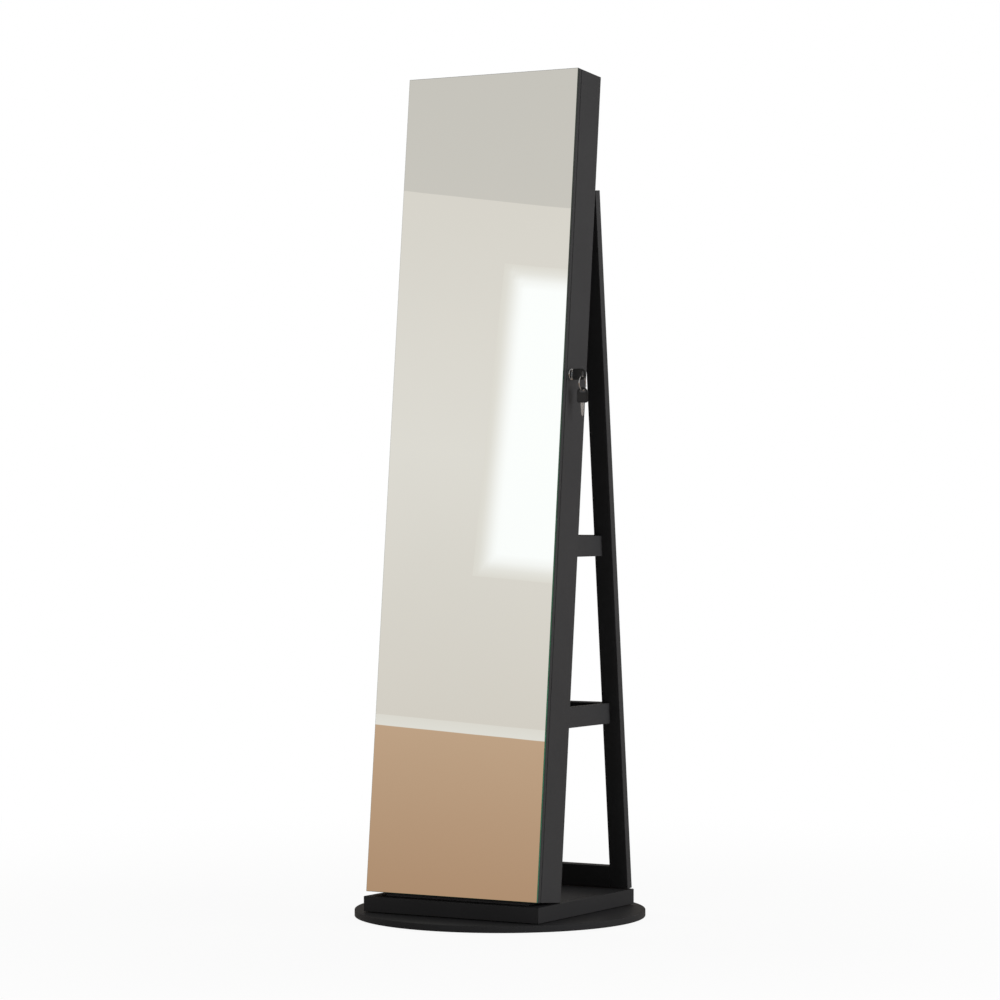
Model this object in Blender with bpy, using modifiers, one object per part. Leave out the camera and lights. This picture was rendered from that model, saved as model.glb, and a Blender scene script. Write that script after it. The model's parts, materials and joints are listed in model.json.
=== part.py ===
"""Swivel mirrored jewelry cabinet: a slim cabinet with a full-face mirror door leans back on a
turning plinth, and a ladder frame with two open trays props it from behind.

Metres, +Z up. The origin is on the ground under the centre of the round base, the mirror faces -Y.
"""
import math

import bmesh
import bpy
from mathutils import Matrix, Vector

# Clearances
SEAT_GAP = 0.0003            # between pieces that rest on or against each other
RUN_GAP = 0.0004             # between pieces that turn past each other

# Round base and the rubber ring under it
PAD_RING_HEIGHT = 0.0017
PAD_RING_WIDTH = 0.018
PAD_RING_INSET = 0.020       # disc edge to ring
DISC_RADIUS = 0.2675
DISC_THICKNESS = 0.012

# Swivel bearing: two races crimped together over a nylon glide ring
RACE_RADIUS = 0.095          # middle of the glide ring
RACE_LAND = 0.004            # flat beside the channel
RACE_FLOOR = 0.0026          # metal under the channel
LAND_GAP = 0.0016            # between the two races
GLIDE_WIDTH = 0.010
GLIDE_HEIGHT = 0.0079
FLANGE_WIDTH = 0.004         # rim of the upper race that the lower one hooks over
FLANGE_THICKNESS = 0.0016
CRIMP_THICKNESS = 0.0015
CRIMP_WALL = 0.002

# Plinth
PLINTH_MARGIN = 0.004        # beyond each side of the cabinet
PLINTH_DEPTH = 0.355
PLINTH_TOP_THICKNESS = 0.015
APRON_THICKNESS = 0.015
SKIRT_GAP = 0.0014           # aprons to disc

# Cabinet, leaning back on the plinth
CABINET_WIDTH = 0.360
CABINET_LENGTH = 1.502       # along the lean
CABINET_DEPTH = 0.0854       # mirror front to back panel
CABINET_LEAN = 5.69          # degrees
CABINET_SETBACK = 0.0025     # plinth front to the mirror's lower edge
SIDE_THICKNESS = 0.012
END_THICKNESS = 0.012
BACK_THICKNESS = 0.005
LINING_THICKNESS = 0.0015
WEDGE_INSET = 0.030          # cabinet side to the wedge
WEDGE_FRONT = 0.022          # mirror front to the wedge
WEDGE_REAR = 0.018           # wedge to the cabinet's back
BOARD_EASE = 0.0008          # eased edges of the black boards

# Mirror door
GLASS_THICKNESS = 0.004
GLASS_EASE = 0.0006
DOOR_BOARD_THICKNESS = 0.0087
DOOR_GAP = 0.0012            # door to cabinet

# Butt hinges on the left edge
HINGE_LENGTH = 0.060
HINGE_END_INSET = 0.130      # cabinet end to hinge centre
KNUCKLE_RADIUS = 0.003
PIN_RADIUS = 0.0013
LEAF_THICKNESS = 0.0015
LEAF_MARGIN = 0.0015         # leaf to the inner face of the cabinet's side
LEAF_GAP = 0.0004            # between closed leaves

# Lock on the right side
LOCK_HEIGHT = 0.947          # along the lean
LOCK_DEPTH = 0.0286          # behind the mirror front
LOCK_FLANGE_RADIUS = 0.0104
LOCK_FLANGE_HEIGHT = 0.0024
LOCK_FLANGE_ROUND = 0.001
LOCK_BARREL_RADIUS = 0.008
LOCK_BARREL_INSIDE = 0.0095  # past the side's inner face
LOCK_PLUG_RADIUS = 0.006
LOCK_PLUG_RECESS = 0.0004
LOCK_NUT_RADIUS = 0.012
LOCK_NUT_THICKNESS = 0.004
CAM_REACH = 0.014
CAM_WIDTH = 0.010
CAM_THICKNESS = 0.003
STRIKE_WIDTH = 0.011
STRIKE_THICKNESS = 0.003
STRIKE_FOOT = 0.025          # height of the plate on the door
STRIKE_SLACK = 0.0008        # cam to strike
STRIKE_DRIFT = 0.0012        # how far the strike swings outwards as the door opens

# Keys and their ring
KEY_WIDTH = 0.020
KEY_HEAD_LENGTH = 0.028
KEY_HEAD_THICKNESS = 0.0034
KEY_HEAD_CORNER = 0.004
KEY_SLOT_WIDTH = 0.011
KEY_SLOT_LENGTH = 0.0052
KEY_SLOT_CENTRE = 0.007      # from the head's round end
KEY_BLADE_WIDTH = 0.0072
KEY_BLADE_LENGTH = 0.024
KEY_BLADE_THICKNESS = 0.0018
KEY_TIP_WIDTH = 0.0024
KEY_TANG = 0.007             # blade inside the head
KEY_CUTS = (0.0013, 0.0006, 0.0016, 0.0009)
KEY_CUT_LAND = 0.0003        # between two cuts
KEY_STAND_OFF = 0.0008       # lock face to the head
RING_RADIUS = 0.0125         # to the middle of the wire
RING_WIRE = 0.0009           # radius
RING_SLACK = 0.0006          # ring wire to the key's slot edge
SPARE_KEY_TURN = 30.0        # degrees, plate about the vertical

# Magnetic catch
MAGNET_SIZE = (0.040, 0.014, 0.012)
MAGNET_PLATE_SIZE = (0.034, 0.0015, 0.010)
MAGNET_PLACE = 0.090         # right of the middle

# Rear frame
STILE_WIDTH = 0.037
STILE_THICKNESS = 0.016
STILE_LENGTH = 1.292
FRAME_FOOT = 0.0164          # plinth rear to the stile's front edge
BOTTOM_RAIL_HEIGHT = 0.041
TOP_RAIL_HEIGHT = 0.060
CLEAT_INSET = 0.080          # cabinet side to the cleat
CLEAT_DROP = 0.014           # frame top to cleat top
CLEAT_HEIGHT = 0.042

# Trays between cabinet and rear frame
TRAY_HEIGHTS = {"lower": 0.352, "upper": 0.662}   # ground to the rails' lower edges
TRAY_INSET = 0.021           # cabinet side to the tray
TRAY_RAIL_HEIGHT = 0.0377
TRAY_RAIL_THICKNESS = 0.012
TRAY_FLOOR_THICKNESS = 0.009
TRAY_FLOOR_RISE = 0.002      # rail's lower edge to the floor's underside

# Inside the cabinet
SHELF_PLACES = ("lower", "middle", "upper")
SHELF_FIRST = 0.150          # cabinet bottom to the middle of the lowest shelf, along the lean
SHELF_SPACING = 0.170
SHELF_THICKNESS = 0.008
SHELF_FRONT = 0.026          # behind the mirror front
SHELF_LIP_HEIGHT = 0.022     # above the shelf
SHELF_LIP_THICKNESS = 0.006
PAD_RISE = 0.055             # middle of the upper shelf to the pad
PAD_ROLLS = 8
PAD_ROLL_PITCH = 0.025
PAD_ROLL_FULLNESS = 0.6      # power of the sine: lower is fuller
PAD_BASE = 0.008
PAD_CROWN = 0.010
PAD_INSET = 0.0127           # cabinet side to the pad
ROD_RISE = 0.085             # pad to the rod's middle
ROD_STAND_OFF = 0.0236       # lining to the rod's middle
ROD_RADIUS = 0.006
HOOK_RAIL_DROP = 0.062       # cabinet top to the rail's middle
HOOK_RAIL_INSET = 0.018      # cabinet side to the rail
HOOK_RAIL_THICKNESS = 0.010
HOOK_RAIL_HEIGHT = 0.030
HOOK_COUNT = 9
HOOK_END = 0.022             # rail end to the first hook
HOOK_WIRE = 0.0016           # radius
HOOK_REACH = 0.022
HOOK_RISE = 0.009
HOOK_ROOT = 0.004            # inside the rail

# Facets of the round pieces
DISC_SIDES = 96
RACE_SIDES = 48
LOCK_SIDES = 32
PLUG_SIDES = 24
NUT_SIDES = 6
HINGE_SIDES = 14
ROD_SIDES = 20
RING_SIDES = 36
RING_WIRE_SIDES = 8
CORNER_POINTS = 7            # on each rounded corner
PAD_ROLL_POINTS = 7          # across each roll
HOOK_BEND_POINTS = 5
WELD = 0.00001               # points closer than this are one

# Colours, roughness and metallic value of each finish
FINISHES = {
    "black_board": ("2B2B2C", 0.42, 0.0),
    "mirror": ("C9C8C4", 0.03, 1.0),
    "chrome": ("D8D9DB", 0.12, 1.0),
    "steel": ("A9ABAD", 0.35, 1.0),
    "key_plastic": ("17181A", 0.45, 0.0),
    "rubber": ("1D1D1E", 0.80, 0.0),
    "nylon": ("D9D7CF", 0.50, 0.0),
    "velvet": ("34312F", 0.95, 0.0),
}

# Derived heights and depths
disc_bottom = PAD_RING_HEIGHT + SEAT_GAP
disc_top = disc_bottom + DISC_THICKNESS
race_bottom = disc_top + SEAT_GAP
glide_bottom = race_bottom + RACE_FLOOR + SEAT_GAP
glide_top = glide_bottom + GLIDE_HEIGHT
race_top = glide_top + RUN_GAP + RACE_FLOOR
plinth_top = race_top + SEAT_GAP + PLINTH_TOP_THICKNESS
apron_bottom = disc_top + SKIRT_GAP
lean = math.radians(CABINET_LEAN)
door_thickness = GLASS_THICKNESS + SEAT_GAP + DOOR_BOARD_THICKNESS
box_front = door_thickness + DOOR_GAP
inner_width = CABINET_WIDTH - 2 * SIDE_THICKNESS
fitted_width = inner_width - 2 * SEAT_GAP
plinth_width = CABINET_WIDTH + 2 * PLINTH_MARGIN
tray_width = CABINET_WIDTH - 2 * TRAY_INSET
shelf_heights = {place: SHELF_FIRST + i * SHELF_SPACING for i, place in enumerate(SHELF_PLACES)}
pad_foot = max(shelf_heights.values()) + PAD_RISE
pad_top = pad_foot + PAD_ROLLS * PAD_ROLL_PITCH
lining_front = CABINET_DEPTH - BACK_THICKNESS - SEAT_GAP - LINING_THICKNESS
cabinet_y = CABINET_SETBACK - PLINTH_DEPTH / 2
cabinet_z = plinth_top + SEAT_GAP + CABINET_DEPTH * math.sin(lean)
stile_y = PLINTH_DEPTH / 2 - FRAME_FOOT
stile_z = plinth_top + SEAT_GAP


def back_distance(y, z):
    """Distance of a point behind the mirror's front plane."""
    return (y - cabinet_y) * math.cos(lean) - (z - cabinet_z) * math.sin(lean)


# The frame leans forward until its top edge meets the cabinet's back
frame_run = back_distance(stile_y, stile_z) - CABINET_DEPTH - SEAT_GAP
frame_lean = math.asin(frame_run / STILE_LENGTH) - lean
hinge_x = -CABINET_WIDTH / 2 - KNUCKLE_RADIUS - SEAT_GAP
hinge_depth = door_thickness + DOOR_GAP / 2
leaf_reach = KNUCKLE_RADIUS + SEAT_GAP + SIDE_THICKNESS - LEAF_MARGIN
hinge_places = {"lower": HINGE_END_INSET, "middle": CABINET_LENGTH / 2,
                "upper": CABINET_LENGTH - HINGE_END_INSET}

# Rotations that stand a flat outline up
OUTLINE_ON_SIDE = (math.pi / 2, 0, math.pi / 2)    # outline in Y and Z, thickness along X
OUTLINE_ON_FRONT = (math.pi / 2, 0, 0)             # outline in X and Z, thickness along Y
TURNED_ALONG_X = (0, math.pi / 2, 0)

for old in list(bpy.data.objects):
    bpy.data.objects.remove(old, do_unlink=True)

parts = bpy.data.collections.new("swivel_jewelry_cabinet")
cutters = bpy.data.collections.new("cutters")
bpy.context.scene.collection.children.link(parts)
bpy.context.scene.collection.children.link(cutters)


def linear(hex_colour):
    channels = [int(hex_colour[i:i + 2], 16) / 255 for i in (0, 2, 4)]
    return [c / 12.92 if c <= 0.04045 else ((c + 0.055) / 1.055) ** 2.4 for c in channels]


def make_finish(name, hex_colour, roughness, metallic):
    finish = bpy.data.materials.new(name)
    finish.use_nodes = True
    shader = finish.node_tree.nodes["Principled BSDF"]
    shader.inputs["Base Color"].default_value = (*linear(hex_colour), 1)
    shader.inputs["Roughness"].default_value = roughness
    shader.inputs["Metallic"].default_value = metallic
    finish.diffuse_color = (*linear(hex_colour), 1)
    return finish


finishes = {name: make_finish(name, *values) for name, values in FINISHES.items()}


def add_axis(name, parent, location, rotation=(0, 0, 0)):
    """An empty that carries pieces: a turning axis or a leaning frame."""
    empty = bpy.data.objects.new(name, None)
    empty.empty_display_size = 0.05
    parts.objects.link(empty)
    empty.parent = parent
    empty.location = location
    empty.rotation_euler = rotation
    return empty


def add_piece(name, mesh, finish, parent, location=(0, 0, 0), rotation=(0, 0, 0), smooth=False):
    piece = bpy.data.objects.new(name, mesh)
    parts.objects.link(piece)
    mesh.materials.clear()
    mesh.materials.append(finishes[finish])
    if smooth:
        mesh.shade_smooth()
        mesh.set_sharp_from_angle(angle=math.radians(35))
    piece.parent = parent
    piece.location = location
    piece.rotation_euler = rotation
    return piece


def add_cutter(name, mesh, parent, location=(0, 0, 0), rotation=(0, 0, 0)):
    cutter = bpy.data.objects.new(name, mesh)
    cutters.objects.link(cutter)
    cutter.hide_render = True
    cutter.display_type = "WIRE"
    cutter.parent = parent
    cutter.location = location
    cutter.rotation_euler = rotation
    return cutter


def cut(piece, cutter):
    modifier = piece.modifiers.new("cut_" + cutter.name, "BOOLEAN")
    modifier.operation = "DIFFERENCE"
    modifier.solver = "EXACT"
    modifier.object = cutter


def ease(piece, width, segments=2):
    modifier = piece.modifiers.new("eased_edges", "BEVEL")
    modifier.width = width
    modifier.segments = segments
    modifier.limit_method = "ANGLE"
    modifier.angle_limit = math.radians(40)


def clean(mesh):
    """Welds a mesh into closed shells whose faces point out."""
    shell = bmesh.new()
    shell.from_mesh(mesh)
    bmesh.ops.remove_doubles(shell, verts=shell.verts, dist=WELD)
    bmesh.ops.dissolve_degenerate(shell, edges=shell.edges, dist=WELD / 10)
    bmesh.ops.recalc_face_normals(shell, faces=shell.faces)
    shell.to_mesh(mesh)
    shell.free()
    return mesh


def evaluated_mesh(piece):
    """The mesh of an object with its modifiers applied; the object is removed."""
    bpy.context.view_layer.update()
    depsgraph = bpy.context.evaluated_depsgraph_get()
    mesh = bpy.data.meshes.new_from_object(piece.evaluated_get(depsgraph))
    bpy.data.objects.remove(piece, do_unlink=True)
    return clean(mesh)


def box_mesh(name, size):
    mesh = bpy.data.meshes.new(name)
    shell = bmesh.new()
    bmesh.ops.create_cube(shell, size=1.0, matrix=Matrix.Diagonal((*size, 1)))
    shell.to_mesh(mesh)
    shell.free()
    return mesh


def drum_mesh(name, radius, length, sides):
    mesh = bpy.data.meshes.new(name)
    shell = bmesh.new()
    bmesh.ops.create_cone(shell, cap_ends=True, segments=sides, radius1=radius, radius2=radius,
                          depth=length)
    shell.to_mesh(mesh)
    shell.free()
    return mesh


def outline_mesh(name, loops, thickness):
    """A flat outline, with holes as further loops, given a thickness about its own plane."""
    curve = bpy.data.curves.new(name, "CURVE")
    curve.dimensions = "2D"
    curve.fill_mode = "BOTH"
    curve.extrude = thickness / 2
    for loop in loops:
        spline = curve.splines.new("POLY")
        spline.points.add(len(loop) - 1)
        for point, (x, y) in zip(spline.points, loop):
            point.co = (x, y, 0, 1)
        spline.use_cyclic_u = True
    flat = bpy.data.objects.new(name, curve)
    cutters.objects.link(flat)
    return evaluated_mesh(flat)


def turned_mesh(name, profile, steps):
    """A closed profile of radius and height pairs, turned about Z."""
    mesh = bpy.data.meshes.new(name)
    corners = [(radius, 0, height) for radius, height in profile]
    edges = [(i, (i + 1) % len(corners)) for i in range(len(corners))]
    mesh.from_pydata(corners, edges, [])
    turned = bpy.data.objects.new(name, mesh)
    cutters.objects.link(turned)
    screw = turned.modifiers.new("turn", "SCREW")
    screw.axis = "Z"
    screw.angle = 2 * math.pi
    screw.steps = steps
    screw.render_steps = steps
    screw.use_merge_vertices = True
    screw.merge_threshold = WELD
    return evaluated_mesh(turned)


def arc(centre, radius, start, end, count):
    angles = [math.radians(start + (end - start) * i / (count - 1)) for i in range(count)]
    return [(centre[0] + radius * math.cos(a), centre[1] + radius * math.sin(a)) for a in angles]


def circle(centre, radius, count):
    return arc(centre, radius, 0, 360 * (count - 1) / count, count)


def rounded_outline(left, right, bottom, top, bottom_radius, top_radius):
    """A rectangle with round corners, which may meet in a half round."""
    count = CORNER_POINTS
    points = arc((left + bottom_radius, bottom + bottom_radius), bottom_radius, 180, 270, count)
    points += arc((right - bottom_radius, bottom + bottom_radius), bottom_radius, 270, 360, count)
    points += arc((right - top_radius, top - top_radius), top_radius, 0, 90, count)
    points += arc((left + top_radius, top - top_radius), top_radius, 90, 180, count)
    following = points[1:] + points[:1]
    return [point for point, after in zip(points, following) if math.dist(point, after) > WELD]


def add_board(name, size, centre, parent, finish="black_board", edge=BOARD_EASE):
    board = add_piece(name, box_mesh(name, size), finish, parent, centre)
    if edge:
        ease(board, edge)
    return board


swivel_axis = add_axis("swivel_axis", None, (0, 0, 0))
cabinet = add_axis("cabinet_frame", swivel_axis, (0, cabinet_y, cabinet_z), (-lean, 0, 0))
rear_frame = add_axis("rear_frame", swivel_axis, (0, stile_y, stile_z), (frame_lean, 0, 0))
door_axis = add_axis("door_axis", cabinet, (hinge_x, hinge_depth, 0))
lock_axis = add_axis("lock_axis", cabinet, (CABINET_WIDTH / 2, LOCK_DEPTH, LOCK_HEIGHT))


def make_base():
    """Round board on a rubber ring."""
    disc = add_piece("base_disc", drum_mesh("base_disc", DISC_RADIUS, DISC_THICKNESS, DISC_SIDES),
                     "black_board", None, (0, 0, disc_bottom + DISC_THICKNESS / 2), smooth=True)
    ease(disc, BOARD_EASE)
    outer = DISC_RADIUS - PAD_RING_INSET
    loops = [circle((0, 0), outer, RACE_SIDES), circle((0, 0), outer - PAD_RING_WIDTH, RACE_SIDES)]
    add_piece("base_pad_ring", outline_mesh("base_pad_ring", loops, PAD_RING_HEIGHT), "rubber", None,
              (0, 0, PAD_RING_HEIGHT / 2))


def make_bearing():
    """Channelled lower and upper races, hooked together at the rim, on a glide ring."""
    middle = (glide_bottom - SEAT_GAP + glide_top + RUN_GAP) / 2
    lower_land = middle - LAND_GAP / 2
    upper_land = middle + LAND_GAP / 2
    lower_floor = glide_bottom - SEAT_GAP
    upper_floor = glide_top + RUN_GAP
    half = GLIDE_WIDTH / 2 + SEAT_GAP
    channel_in = RACE_RADIUS - half
    channel_out = RACE_RADIUS + half
    inner = channel_in - RACE_LAND
    block = channel_out + RACE_LAND
    flange = block + FLANGE_WIDTH
    wall = flange + RUN_GAP
    flange_top = upper_land + FLANGE_THICKNESS
    crimp_low = flange_top + RUN_GAP
    crimp_high = crimp_low + CRIMP_THICKNESS
    crimp_edge = block + 2 * RUN_GAP
    rim = wall + CRIMP_WALL
    lower = [(inner, race_bottom), (inner, lower_land), (channel_in, lower_land), (channel_in, lower_floor),
             (channel_out, lower_floor), (channel_out, lower_land), (wall, lower_land), (wall, crimp_low),
             (crimp_edge, crimp_low), (crimp_edge, crimp_high), (rim, crimp_high), (rim, race_bottom)]
    add_piece("bearing_lower_ring", turned_mesh("bearing_lower_ring", lower, RACE_SIDES), "steel", None)
    upper = [(inner, race_top), (block, race_top), (block, flange_top), (flange, flange_top),
             (flange, upper_land), (channel_out, upper_land), (channel_out, upper_floor),
             (channel_in, upper_floor), (channel_in, upper_land), (inner, upper_land)]
    add_piece("bearing_upper_ring", turned_mesh("bearing_upper_ring", upper, RACE_SIDES), "steel",
              swivel_axis)
    near = RACE_RADIUS - GLIDE_WIDTH / 2
    far = RACE_RADIUS + GLIDE_WIDTH / 2
    glide = [(near, glide_bottom), (near, glide_top), (far, glide_top), (far, glide_bottom)]
    add_piece("bearing_glide_ring", turned_mesh("bearing_glide_ring", glide, RACE_SIDES), "nylon", None)


def make_plinth():
    """A top board let into four mitred aprons."""
    wide, deep = plinth_width / 2, PLINTH_DEPTH / 2
    step = APRON_THICKNESS
    mitre = SEAT_GAP / 2
    apron_height = plinth_top - apron_bottom
    middle = (0, 0, (plinth_top + apron_bottom) / 2)
    outlines = {
        "front": [(-wide + mitre, -deep), (wide - mitre, -deep),
                  (wide - step - mitre, step - deep), (step - wide + mitre, step - deep)],
        "rear": [(wide - mitre, deep), (-wide + mitre, deep),
                 (step - wide + mitre, deep - step), (wide - step - mitre, deep - step)],
        "left": [(-wide, deep - mitre), (-wide, -deep + mitre),
                 (step - wide, step - deep + mitre), (step - wide, deep - step - mitre)],
        "right": [(wide, -deep + mitre), (wide, deep - mitre),
                  (wide - step, deep - step - mitre), (wide - step, step - deep + mitre)],
    }
    for side, outline in outlines.items():
        name = "plinth_" + side + "_apron"
        apron = outline_mesh(name, [outline], apron_height)
        ease(add_piece(name, apron, "black_board", swivel_axis, middle), BOARD_EASE)
    inset = 2 * (APRON_THICKNESS + SEAT_GAP)
    top_size = (plinth_width - inset, PLINTH_DEPTH - inset, PLINTH_TOP_THICKNESS)
    add_board("plinth_top", top_size, (0, 0, plinth_top - PLINTH_TOP_THICKNESS / 2), swivel_axis)


def side_outline(low, high):
    """Outline in Y and Z that fills the space between the cabinet's back and the rear frame."""
    def front(z):
        run = CABINET_DEPTH + SEAT_GAP + (z - cabinet_z) * math.sin(lean)
        return cabinet_y + run / math.cos(lean)

    def rear(z):
        return stile_y - (z - stile_z) * math.tan(frame_lean) - SEAT_GAP / math.cos(frame_lean)

    return [(front(low), low), (rear(low), low), (rear(high), high), (front(high), high)]


def make_cabinet():
    """Open-fronted box with a lined back, on a wedge that fills the lean."""
    depth = CABINET_DEPTH - box_front
    middle = (CABINET_DEPTH + box_front) / 2
    half = CABINET_LENGTH / 2
    side_x = (CABINET_WIDTH - SIDE_THICKNESS) / 2
    side_size = (SIDE_THICKNESS, depth, CABINET_LENGTH)
    left = add_board("cabinet_left_side", side_size, (-side_x, middle, half), cabinet)
    right = add_board("cabinet_right_side", side_size, (side_x, middle, half), cabinet)
    end_size = (fitted_width, depth, END_THICKNESS)
    add_board("cabinet_bottom", end_size, (0, middle, END_THICKNESS / 2), cabinet)
    add_board("cabinet_top", end_size, (0, middle, CABINET_LENGTH - END_THICKNESS / 2), cabinet)
    back_length = CABINET_LENGTH - 2 * (END_THICKNESS + SEAT_GAP)
    add_board("cabinet_back", (fitted_width, BACK_THICKNESS, back_length),
              (0, CABINET_DEPTH - BACK_THICKNESS / 2, half), cabinet, edge=0)
    add_board("back_lining", (fitted_width, LINING_THICKNESS, back_length),
              (0, lining_front + LINING_THICKNESS / 2, half), cabinet, "velvet", edge=0)

    def underside(y):
        return cabinet_z - (y - cabinet_y) * math.tan(lean) - SEAT_GAP

    start = cabinet_y + WEDGE_FRONT
    end = cabinet_y + CABINET_DEPTH * math.cos(lean) - WEDGE_REAR
    floor = plinth_top + SEAT_GAP
    wedge = [(start, floor), (end, floor), (end, underside(end)), (start, underside(start))]
    wedge = outline_mesh("cabinet_wedge", [wedge], CABINET_WIDTH - 2 * WEDGE_INSET)
    add_piece("cabinet_wedge", wedge, "black_board", swivel_axis, rotation=OUTLINE_ON_SIDE)
    return left, right


def make_rear_frame():
    """Ladder of two stiles and four rails that leans on the cabinet's back."""
    stile_size = (STILE_WIDTH, STILE_THICKNESS, STILE_LENGTH)
    stile_x = (CABINET_WIDTH - STILE_WIDTH) / 2
    for side, x in (("left", -stile_x), ("right", stile_x)):
        place = (x, STILE_THICKNESS / 2, STILE_LENGTH / 2)
        add_board("rear_" + side + "_stile", stile_size, place, rear_frame)
    rail_width = CABINET_WIDTH - 2 * (STILE_WIDTH + SEAT_GAP)
    rails = {"bottom": (BOTTOM_RAIL_HEIGHT, BOTTOM_RAIL_HEIGHT / 2),
             "top": (TOP_RAIL_HEIGHT, STILE_LENGTH - TOP_RAIL_HEIGHT / 2)}
    for tray, height in TRAY_HEIGHTS.items():
        middle = height + TRAY_RAIL_HEIGHT / 2
        rails[tray] = (TRAY_RAIL_HEIGHT, (middle - stile_z) / math.cos(frame_lean))
    for place, (height, middle) in rails.items():
        add_board("rear_" + place + "_rail", (rail_width, STILE_THICKNESS, height),
                  (0, STILE_THICKNESS / 2, middle), rear_frame)
    frame_top = stile_z + STILE_LENGTH * math.cos(frame_lean)
    cleat_top = frame_top - CLEAT_DROP
    cleat = side_outline(cleat_top - CLEAT_HEIGHT, cleat_top)
    cleat = outline_mesh("apex_cleat", [cleat], CABINET_WIDTH - 2 * CLEAT_INSET)
    add_piece("apex_cleat", cleat, "black_board", swivel_axis, rotation=OUTLINE_ON_SIDE)


def make_trays():
    """Two trays between cabinet and rear frame: a floor and two side rails each."""
    rail_x = (tray_width - TRAY_RAIL_THICKNESS) / 2
    floor_width = tray_width - 2 * (TRAY_RAIL_THICKNESS + SEAT_GAP)
    for tray, height in TRAY_HEIGHTS.items():
        floor_low = height + TRAY_FLOOR_RISE
        floor = side_outline(floor_low, floor_low + TRAY_FLOOR_THICKNESS)
        name = tray + "_tray_floor"
        floor = add_piece(name, outline_mesh(name, [floor], floor_width), "black_board", swivel_axis,
                          rotation=OUTLINE_ON_SIDE)
        ease(floor, BOARD_EASE / 2, 1)
        outline = side_outline(height, height + TRAY_RAIL_HEIGHT)
        for side, x in (("left", -rail_x), ("right", rail_x)):
            name = tray + "_tray_" + side + "_rail"
            rail = outline_mesh(name, [outline], TRAY_RAIL_THICKNESS)
            ease(add_piece(name, rail, "black_board", swivel_axis, (x, 0, 0), OUTLINE_ON_SIDE), BOARD_EASE)


def leaf_mesh(name, side):
    """One hinge leaf about its pin: side is 1 for the cabinet's leaf and -1 for the door's."""
    low = LEAF_GAP / 2
    high = low + LEAF_THICKNESS
    start = math.degrees(math.asin(high / KNUCKLE_RADIUS))
    end = 360 + math.degrees(math.asin(low / KNUCKLE_RADIUS))
    outline = [(leaf_reach, low), (leaf_reach, high)]
    outline += arc((0, 0), KNUCKLE_RADIUS, start, end, HINGE_SIDES + 1)
    loops = [outline, circle((0, 0), PIN_RADIUS + SEAT_GAP, HINGE_SIDES)]
    loops = [[(x, side * y) for x, y in loop] for loop in loops]
    leaf = add_cutter(name, outline_mesh(name, loops, HINGE_LENGTH), None)
    third = HINGE_LENGTH / 3
    width = 2 * (KNUCKLE_RADIUS + RUN_GAP)
    if side > 0:
        notches = {0: third + RUN_GAP}
    else:
        notches = {-HINGE_LENGTH / 2: 2 * third + RUN_GAP, HINGE_LENGTH / 2: 2 * third + RUN_GAP}
    for z, height in notches.items():
        cut(leaf, add_cutter(name + "_notch", box_mesh("notch", (width, width, height)), None, (0, 0, z)))
    return evaluated_mesh(leaf)


def make_hinges(left_side, door_board):
    """Three let-in butt hinges, each two leaves on a pin."""
    hinge_line = add_axis("hinge_line", cabinet, (hinge_x, hinge_depth, 0))
    reach = leaf_reach + SEAT_GAP
    depth = LEAF_GAP / 2 + LEAF_THICKNESS + SEAT_GAP
    mortise = box_mesh("mortise", (reach, depth, HINGE_LENGTH + 2 * SEAT_GAP))
    pin = drum_mesh("pin", PIN_RADIUS, HINGE_LENGTH, HINGE_SIDES)
    owners = {"box": (1, left_side, hinge_line), "door": (-1, door_board, door_axis)}
    leaves = {owner: leaf_mesh("hinge_" + owner + "_leaf", owners[owner][0]) for owner in owners}
    for place, z in hinge_places.items():
        for owner, (side, board, axis) in owners.items():
            name = "hinge_" + place + "_" + owner
            add_piece(name + "_leaf", leaves[owner], "steel", axis, (0, 0, z))
            centre = (reach / 2, side * depth / 2, z)
            cut(board, add_cutter(name + "_mortise", mortise, axis, centre))
        add_piece("hinge_" + place + "_pin", pin, "steel", hinge_line, (0, 0, z))


def make_door():
    """Mirror plate on a backing board, hung on the left."""
    half = CABINET_LENGTH / 2
    middle = -hinge_x
    glass_size = (CABINET_WIDTH, GLASS_THICKNESS, CABINET_LENGTH)
    add_board("mirror_glass", glass_size, (middle, GLASS_THICKNESS / 2 - hinge_depth, half), door_axis,
              "mirror", GLASS_EASE)
    board_size = (CABINET_WIDTH, DOOR_BOARD_THICKNESS, CABINET_LENGTH)
    board_y = door_thickness - DOOR_BOARD_THICKNESS / 2 - hinge_depth
    return add_board("door_panel", board_size, (middle, board_y, half), door_axis)


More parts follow.
